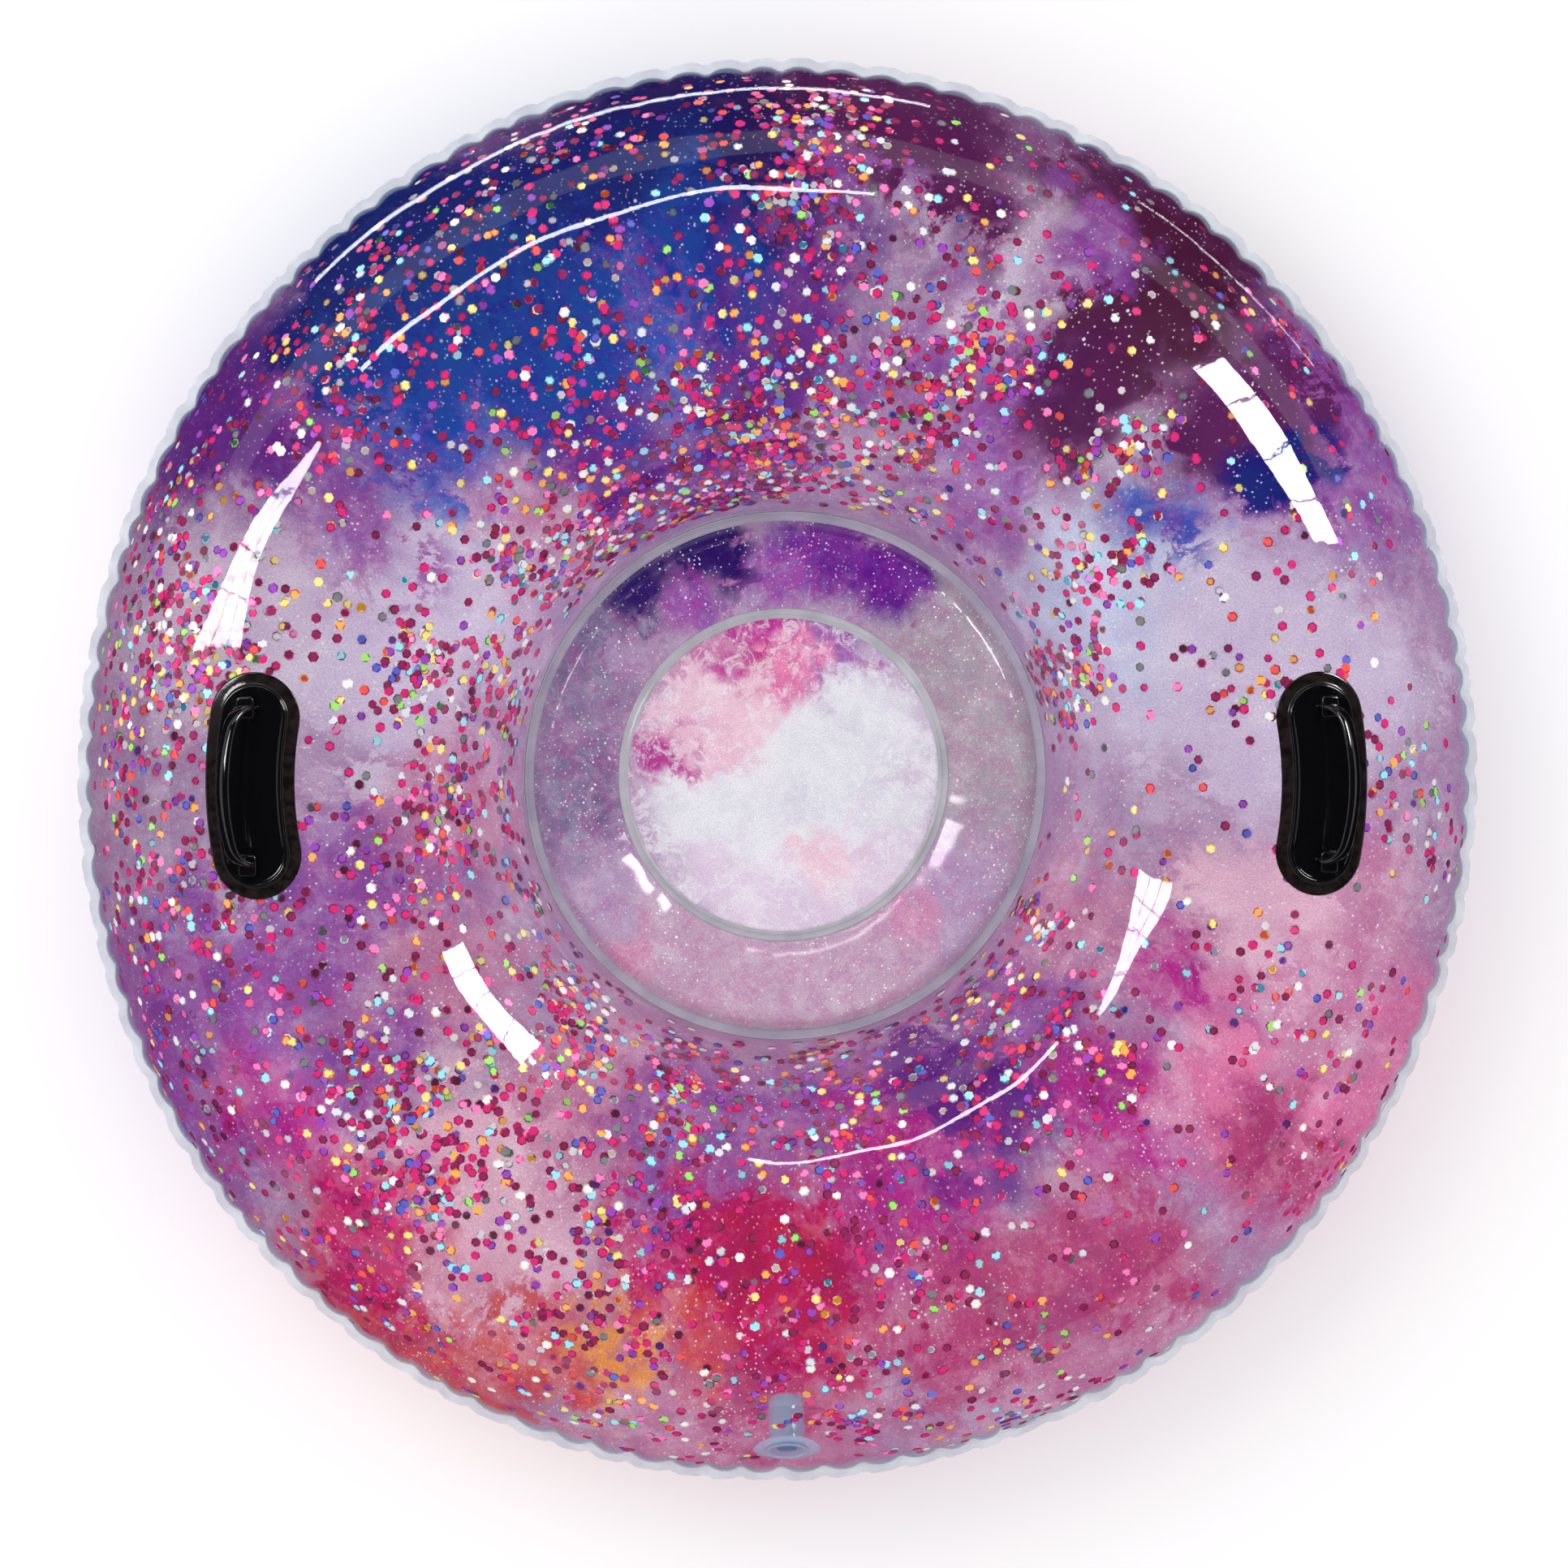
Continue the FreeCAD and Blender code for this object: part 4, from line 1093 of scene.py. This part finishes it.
def flange_profile(inner, outer, thickness):
    return (
        (inner, 0.0),
        (outer - 0.3 * MM, 0.0),
        (outer, 0.25 * thickness),
        (outer - 0.1 * MM, 0.7 * thickness),
        (outer - 0.8 * MM, thickness),
        ((inner + outer) / 2, thickness * 1.05),
        (inner, thickness),
        (inner, 0.0),
    )


# the tube's valve. The floor's is the same at a smaller size, with walls as thick.
# Heights run outward from the film.
FLANGE = 23 * MM
SLEEVE = 12.25 * MM
SLEEVE_DEPTH = 34 * MM
SLEEVE_WALL = 0.9 * MM
RIB = 0.35 * MM
COLLAR_TOP = 2.4 * MM
STEM = 6 * MM
STEM_RIM = 8 * MM
STEM_WALL = 1.3 * MM
RIM_LOW = -4.0 * MM
CAP = 7.4 * MM
CAP_LOW = -2.5 * MM
CAP_TOP = -0.5 * MM
FLAP = 5.4 * MM
STRAP_TRACK = 9.4 * MM


def stem_foot(size):
    return -SLEEVE_DEPTH * size - SLEEVE_WALL - 0.7 * MM


def sleeve_profile(size):
    """Collar, ribbed sleeve and its floor, with a hole that the stem slides in."""
    sleeve = SLEEVE * size
    depth = SLEEVE_DEPTH * size
    bore = STEM * size + 0.4 * MM
    collar = sleeve + 2.6 * MM
    outer_side = [(sleeve, 0.4 * MM)]
    for step in (0.2, 0.4, 0.6, 0.8):
        level = -depth * step
        outer_side += [(sleeve, level + 1.2 * MM), (sleeve + RIB, level), (sleeve, level - 1.2 * MM)]
    return [
        (bore, -depth),
        (sleeve - SLEEVE_WALL, -depth),
        (sleeve - SLEEVE_WALL, COLLAR_TOP - 0.5 * MM),
        (sleeve - SLEEVE_WALL + 0.4 * MM, COLLAR_TOP),
        (collar - 0.5 * MM, COLLAR_TOP),
        (collar, COLLAR_TOP - 0.4 * MM),
        (collar, 1.25 * MM),
        (sleeve + 0.2 * MM, 1.25 * MM),
        *outer_side,
        (sleeve, -depth - SLEEVE_WALL),
        (bore, -depth - SLEEVE_WALL),
        (bore, -depth),
    ]


def stem_profile(size):
    """A tube with a rim that the plug's cap sits on."""
    stem = STEM * size
    rim = STEM_RIM * size
    inner = stem - STEM_WALL
    foot = stem_foot(size)
    return [
        (inner, foot),
        (stem - 0.2 * MM, foot),
        (stem, foot + 0.3 * MM),
        (stem, RIM_LOW),
        (rim - 0.3 * MM, RIM_LOW),
        (rim, RIM_LOW + 0.3 * MM),
        (rim, CAP_LOW - 0.3 * MM),
        (rim - 0.3 * MM, CAP_LOW),
        (inner, CAP_LOW),
        (inner, foot),
    ]


def plug_profile(size):
    """A shank that fits the stem, under a cap with a raised edge and middle."""
    cap = CAP * size
    shank = STEM * size - STEM_WALL - 0.3 * MM
    foot = CAP_LOW - 9 * MM * size
    return [
        (0, foot),
        (shank - 0.4 * MM, foot),
        (shank, foot + 0.8 * MM),
        (shank, CAP_LOW + 0.02 * MM),
        (cap - 0.3 * MM, CAP_LOW + 0.02 * MM),
        (cap, CAP_LOW + 0.4 * MM),
        (cap, CAP_TOP - 0.4 * MM),
        (cap - 0.4 * MM, CAP_TOP),
        (cap - 1.2 * MM, CAP_TOP),
        (cap - 1.6 * MM, CAP_TOP - 0.5 * MM),
        (cap * 0.3, CAP_TOP - 0.6 * MM),
        (cap * 0.24, CAP_TOP - 0.2 * MM),
        (0, CAP_TOP - 0.15 * MM),
    ]


def flap_profile(size):
    """A thin disc that shuts the stem's foot."""
    top = stem_foot(size) - 0.02 * MM
    inner = 5.2 * MM * size
    return [
        (0, top - 0.8 * MM),
        (inner, top - 0.8 * MM),
        (FLAP * size, top - 0.6 * MM),
        (FLAP * size, top - 0.2 * MM),
        (inner, top),
        (0, top),
    ]


def build_strap(name, centre, outward, size):
    """The plug's strap: half round the valve from the stem's rim up to the cap. Gives it with its ends."""
    up = Vector(outward).normalized()
    east = Vector((1, 0, 0))
    north = up.cross(east)
    track = STRAP_TRACK * size
    half_broad = 0.75 * MM * size
    sections = []
    steps = 30
    for k in range(steps + 1):
        s = k / steps
        a = math.radians(-6 + 168 * s)
        edge = max(0, 1 - s / 0.1) * (STEM_RIM * size + 0.05 * MM - track + half_broad)
        edge += max(0, 1 - (1 - s) / 0.1) * (CAP * size + 0.08 * MM - track + half_broad)
        level = -3.3 * MM + 1.7 * MM * min(1, max(0, (s - 0.3) / 0.7))
        spoke = east * math.cos(a) + north * math.sin(a)
        middle = Vector(centre) + up * level + spoke * (track + edge)
        ring = []
        for i in range(10):
            b = TAU * i / 10
            ring.append(tuple(middle + spoke * half_broad * math.cos(b) + up * 0.5 * MM * math.sin(b)))
        sections.append(np.array(ring))
    strap = loft(name, sections, [valve_solid])
    return strap, Vector(centre) + east * track, Vector(centre) - east * track


def build_valve(prefix, bodies, centre, outward, size, on_film):
    """Flange, collar and sleeve; stem; captive plug with its strap; one-way flap. on_film places the
    flange on the film round the valve."""
    straight = about_axis(centre, outward)
    flange = flange_profile(SLEEVE * size + 0.3 * MM, FLANGE * size, 1.1 * MM)
    body = turned(prefix + "_sleeve", sleeve_profile(size), straight, valve_film, 64)
    join_meshes(body, [turned("flange", flange, on_film, valve_film, 56)])
    settle(body, prefix + "_body")
    stem = turned(prefix + "_tube", stem_profile(size), straight, valve_film)
    settle(stem, prefix + "_stem", bodies[0])
    plug = turned(prefix + "_stopper", plug_profile(size), straight, valve_solid)
    settle(plug, prefix + "_plug", bodies[1])
    flap = turned(prefix + "_tongue", flap_profile(size), straight, valve_solid, 32)
    settle(flap, prefix + "_flap", bodies[2])
    strap, stem_end, plug_end = build_strap(prefix + "_tether", centre, outward, size)
    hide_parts(prefix + "_strap")
    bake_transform(strap)
    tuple(stem_end)
    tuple(plug_end)


hole_depth = 12 * MM


def cut_hole(obj, centre, axis, radius):
    """Opens a film where a valve passes, and closes the edge between its two faces."""
    up = Vector(axis).normalized()
    with mesh_work(obj) as work:
        doomed = []
        for face in work.faces:
            gap = face.calc_center_median() - Vector(centre)
            along = gap.dot(up)
            if abs(along) < hole_depth and (gap - up * along).length < radius:
                doomed.append(face)
        bmesh.ops.delete(work, geom=doomed, context="FACES")
        rim = [edge for edge in work.edges if edge.is_boundary]
        bmesh.ops.bridge_loops(work, edges=rim)


def on_ring(u, v, lift):
    bearing = -math.pi / 2 + u / valve_reach
    return tube_point(bearing, valve_share + v / arc_length, 1, lift + film_gap)


valve_out = Vector((0, -math.cos(valve_tilt), math.sin(valve_tilt)))
valve_centre = Vector((0, -valve_reach, seam_z - arc_drop + arc_radius * math.sin(valve_tilt)))
build_valve("ring_valve", ("ring_stem", "ring_plug", "ring_flap"), valve_centre, valve_out, 1.0, on_ring)
cut_hole(ring_top, valve_centre, valve_out, 18 * MM)


def under_cushion(u, v, lift):
    """A point on the underside of the floor cushion near its valve."""
    x, y = u, floor_valve_y + v
    shift = float(bore_shift(math.pi / 2)) * (floor_valve_y / bore_radius) ** 2
    across = (math.hypot(x, y) - shift - cushion_middle) / (chord / 2)
    return (x, y, weld_foot - float(cushion_height(across, -1)) - lift - film_gap)


build_valve(
    "floor_valve",
    ("floor_stem", "floor_plug", "floor_flap"),
    Vector((0, floor_valve_y, floor_valve_z)),
    Vector((0, 0, -1)),
    0.6,
    under_cushion,
)
under_sheet = bpy.data.objects["floor_base_film"]
cut_hole(under_sheet, (0, floor_valve_y, floor_valve_z), (0, 0, -1), 11 * MM)


# ---------------------------------------------------------------- glitter
FLAKE_INKS = (
    # bright middle, darker rim that is a painted-shade copy of the same ink, share of the flakes
    ((232, 28, 124), (150, 12, 84), 30),
    ((255, 140, 204), (214, 34, 128), 8),
    ((255, 92, 84), (196, 24, 66), 5),
    ((160, 20, 92), (96, 10, 60), 27),
    ((132, 134, 138), (92, 94, 96), 4),
    ((168, 70, 200), (88, 28, 130), 10),
    ((96, 104, 214), (44, 44, 130), 5),
    ((240, 240, 246), (160, 166, 182), 7),
    ((255, 255, 255), (226, 214, 190), 7),
    ((176, 244, 255), (44, 150, 186), 7),
    ((255, 244, 150), (226, 158, 26), 6),
    ((255, 190, 96), (226, 84, 26), 6),
    ((180, 240, 120), (38, 140, 70), 3),
)
# each ink becomes a lit copy and a darker painted-shade copy
flake_materials = []
for number, (bright, dark, _) in enumerate(FLAKE_INKS):
    for word, screen, rough in (("bright", bright, 0.3), ("dark", dark, 0.38)):
        m = Nodes("glitter_%02d_%s" % (number, word))
        m.set(Base_Color=linear(*screen), Roughness=rough, Metallic=0.1)
        flake_materials.append(m.material)

flake_count = 7200
flake_reach = 3.6 * MM
flake_half = 0.06 * MM
valve_margin = 34 * MM
flake_ends = (0.06, 0.92)
# how thick the flakes lie at each bearing
crowding = ((0, 0.4), (30, 0.6), (60, 1.1), (90, 1.6), (120, 1.4), (150, 1.0), (180, 1.2), (210, 1.4))
crowding += ((240, 1.2), (265, 1.6), (290, 0.9), (320, 0.5), (345, 0.35), (360, 0.4))
crowd_bearings = [c[0] for c in crowding]
crowd_weights = [c[1] for c in crowding]


def weighted_bearing(count):
    tries = dice.uniform(0, 360, count * 6)
    keep = dice.uniform(0, 1.6, count * 6) < np.interp(tries, crowd_bearings, crowd_weights)
    return np.radians(tries[keep][:count])


def scatter_flakes():
    """Bearings, shares across the tube and sides for the flakes, most of them in drifts."""
    drifts = 110
    drift_bearing = weighted_bearing(drifts)
    drift_share = dice.uniform(0.12, 0.86, drifts)
    drift_size = dice.uniform(10, 42, drifts) * MM
    drift_pull = dice.uniform(0.3, 1.6, drifts)
    choice = dice.choice(drifts, flake_count, p=drift_pull / drift_pull.sum())
    spread = dice.normal(size=(flake_count, 2)) * drift_size[choice][:, None]
    bearing = drift_bearing[choice] + spread[:, 0] / tube_centre
    place = drift_share[choice] + spread[:, 1] / arc_length
    alone = dice.random(flake_count) < 0.32
    strays = weighted_bearing(flake_count)
    bearing = np.where(alone, strays, bearing)
    place = np.where(alone, dice.uniform(0.08, 0.9, flake_count), place)
    side = np.where(dice.random(flake_count) < 0.6, 1, -1)
    good = (place > flake_ends[0]) & (place < flake_ends[1])
    clear = from_valve(bearing, place) > valve_margin
    good &= clear | (side < 0)
    return bearing[good], place[good], side[good]


def flake_frames(bearing, place, side):
    """Centre and two tangents of each flake, just inside the film it clings to."""
    centre = np.empty((len(bearing), 3))
    around_step = np.empty_like(centre)
    across_step = np.empty_like(centre)
    depth = skin + 0.35 * MM + dice.random(len(bearing)) * 0.9 * MM
    small = 1e-3
    for s in (1, -1):
        mine = side == s
        b, p, d = bearing[mine], place[mine], -depth[mine]
        centre[mine] = tube_point(b, p, s, d)
        around_step[mine] = tube_point(b + small, p, s, d) - centre[mine]
        across_step[mine] = tube_point(b, p + small, s, d) - centre[mine]
    first = around_step / np.linalg.norm(around_step, axis=1, keepdims=True)
    normal = np.cross(first, across_step)
    normal /= np.linalg.norm(normal, axis=1, keepdims=True)
    second = np.cross(normal, first)
    return centre, first, second, normal


def build_glitter():
    """Hexagonal flakes: a bright middle inside a darker rim, each a thin closed plate. The darker colour is
    a painted-shade copy of the flake's ink, used on the side walls, on facets taken at random and on some
    flakes of the base film.
    """
    bearing, place, side = scatter_flakes()
    centre, first, second, normal = flake_frames(bearing, place, side)
    up = np.where(normal[:, 2:3] >= 0, 1.0, -1.0)
    normal = normal * up
    count = len(bearing)
    spin = dice.uniform(0, TAU / 6, count)
    grow = dice.uniform(0.86, 1.06, count)
    weights = np.array([ink[2] for ink in FLAKE_INKS], float)
    ink = dice.choice(len(FLAKE_INKS), count, p=weights / weights.sum())
    # some flakes on the base film take the dark copy in the middle too: painted shade
    painted_dim = (side < 0) & (dice.random(count) < 0.25)
    verts = []
    for level, reach in ((1, 0.7), (1, 1.0), (-1, 1.0)):
        for k in range(6):
            a = spin + k * TAU / 6
            out = (flake_reach * grow * reach)[:, None]
            spot = centre + (first * np.cos(a)[:, None] + second * np.sin(a)[:, None]) * out
            verts.append(spot + normal * level * flake_half)
    verts = np.stack(verts, 1).reshape(-1, 3)
    faces = []
    slots = []
    # the facets round each middle take the lit or the dark copy at random, and a few take another ink's
    # dark copy: painted glints and shade
    other = dice.choice(len(FLAKE_INKS), count, p=weights / weights.sum())
    roll = dice.random((count, 6))
    facets = np.where(roll < 0.45, 2 * ink[:, None] + 1, 2 * ink[:, None])
    facets = np.where(roll > 0.9, 2 * other[:, None] + 1, facets)
    for i in range(count):
        o = i * 18
        middle = 2 * int(ink[i]) + (1 if painted_dim[i] else 0)
        rim = 2 * int(ink[i]) + 1
        faces.append(tuple(o + k for k in range(6)))
        slots.append(middle)
        for k in range(6):
            j = (k + 1) % 6
            faces.append((o + k, o + 6 + k, o + 6 + j, o + j))
            faces.append((o + 6 + k, o + 12 + k, o + 12 + j, o + 6 + j))
            slots += [facets[i, k], rim]
        faces.append(tuple(o + 12 + k for k in reversed(range(6))))
        slots.append(middle)
    obj = add_object("ring_glitter_flakes", verts, faces, flake_materials, smooth=False)
    obj.data.polygons.foreach_set("material_index", slots)
    fix_normals(obj)
    return obj


glitter = build_glitter()
settle(glitter, "ring_glitter")


# ---------------------------------------------------------------- studio
def studio_floor():
    m = Nodes("studio_floor")
    m.set(Base_Color=(0.93, 0.93, 0.935, 1.0), Roughness=0.9)
    m.shader.inputs["Specular IOR Level"].default_value = 0.0
    spokes = [TAU * k / 96 for k in range(96)]
    rim = [(9 * math.cos(a), 9 * math.sin(a), 0) for a in spokes]
    floor = add_object("studio_floor", rim, [tuple(range(96))], [m.material], smooth=False)
    floor.location.z = cad_box[0][2] - 0.5 * MM
    floor.visible_glossy = False
    return floor


def window(name, start, end, distance, columns, rows, glow, gap=0.03):
    """A bright window seen only in reflections, as panes with thin dark bars between them.
    start and end are its two upright sides: bearing, lowest and highest angle above the floor."""
    m = Nodes(name)
    m.set(Base_Color=(0.0, 0.0, 0.0, 1.0), Emission_Color=(1.0, 1.0, 1.0, 1.0), Emission_Strength=glow)
    m.material.cycles.emission_sampling = "NONE"
    verts = []
    faces = []
    for i in range(columns):
        for j in range(rows):
            for u, v in ((0, 0), (1, 0), (1, 1), (0, 1)):
                s = (i + gap + (1 - 2 * gap) * u) / columns
                w = (j + gap + (1 - 2 * gap) * v) / rows
                bearing = math.radians(start[0] + (end[0] - start[0]) * s)
                low_edge = start[1] + (end[1] - start[1]) * s
                high_edge = start[2] + (end[2] - start[2]) * s
                rise = math.radians(low_edge + (high_edge - low_edge) * w)
                flat = distance * math.cos(rise)
                height = seam_z + distance * math.sin(rise)
                verts.append((flat * math.cos(bearing), flat * math.sin(bearing), height))
            faces.append(tuple(range(len(verts) - 4, len(verts))))
    obj = add_object(name, verts, faces, [m.material], smooth=False)
    obj.visible_camera = False
    obj.visible_diffuse = False
    obj.visible_shadow = False
    return obj


scene = bpy.context.scene
world = bpy.data.worlds.new("studio")
scene.world = world
world.use_nodes = True
world.node_tree.nodes["Background"].inputs["Color"].default_value = (1.0, 1.0, 1.0, 1.0)
world.node_tree.nodes["Background"].inputs["Strength"].default_value = 1.04
world.cycles_visibility.glossy = False

key_data = bpy.data.lights.new("key", "AREA")
key_data.size = 1.8
key_data.energy = 26
key = bpy.data.objects.new("key", key_data)
scene.collection.objects.link(key)
key.location = (-1.6, 1.4, 2.6)
key.rotation_euler = (-key.location).to_track_quat("-Z", "Y").to_euler()
key.visible_glossy = False

far = 3.0
close = 0.78
studio_floor()
window("window_left", (146, 41, 43.5), (169, 26, 49), far, 4, 3, 14)
window("window_right", (19, 26, 40), (41, 24, 42), far, 4, 1, 24)
window("strip_back", (78, 36.6, 38.2), (136, 35.9, 38.1), far, 24, 1, 14, gap=0)
window("strip_low", (76, -10.0, -8.4), (134, -10.4, -8.1), close, 24, 1, 14, gap=0)
window("strip_side", (36, -5.0, -4.4), (57, -5.2, -4.4), close, 12, 1, 12, gap=0.06)
window("low_sky", (0, 5, 20), (360, 5, 20), 4.0, 48, 1, 0.6, gap=0)

camera_data = bpy.data.cameras.new("camera")
camera = bpy.data.objects.new("camera", camera_data)
scene.collection.objects.link(camera)
scene.camera = camera
distance = 2.2
frame_half = 0.548
lean = math.radians(3)
drift = math.radians(-2.5)
aim = Vector((1.1 * MM, -6.7 * MM, seam_z))
sight = Vector((math.cos(lean) * math.sin(drift), math.sin(lean), math.cos(lean) * math.cos(drift)))
camera.location = aim + distance * sight
camera.rotation_euler = (-lean, drift, 0)
camera_data.angle = 2 * math.atan(frame_half / distance)
camera_data.clip_end = 50
camera_data.dof.use_dof = False

scene.view_settings.view_transform = "Standard"
scene.cycles.transparent_max_bounces = 16
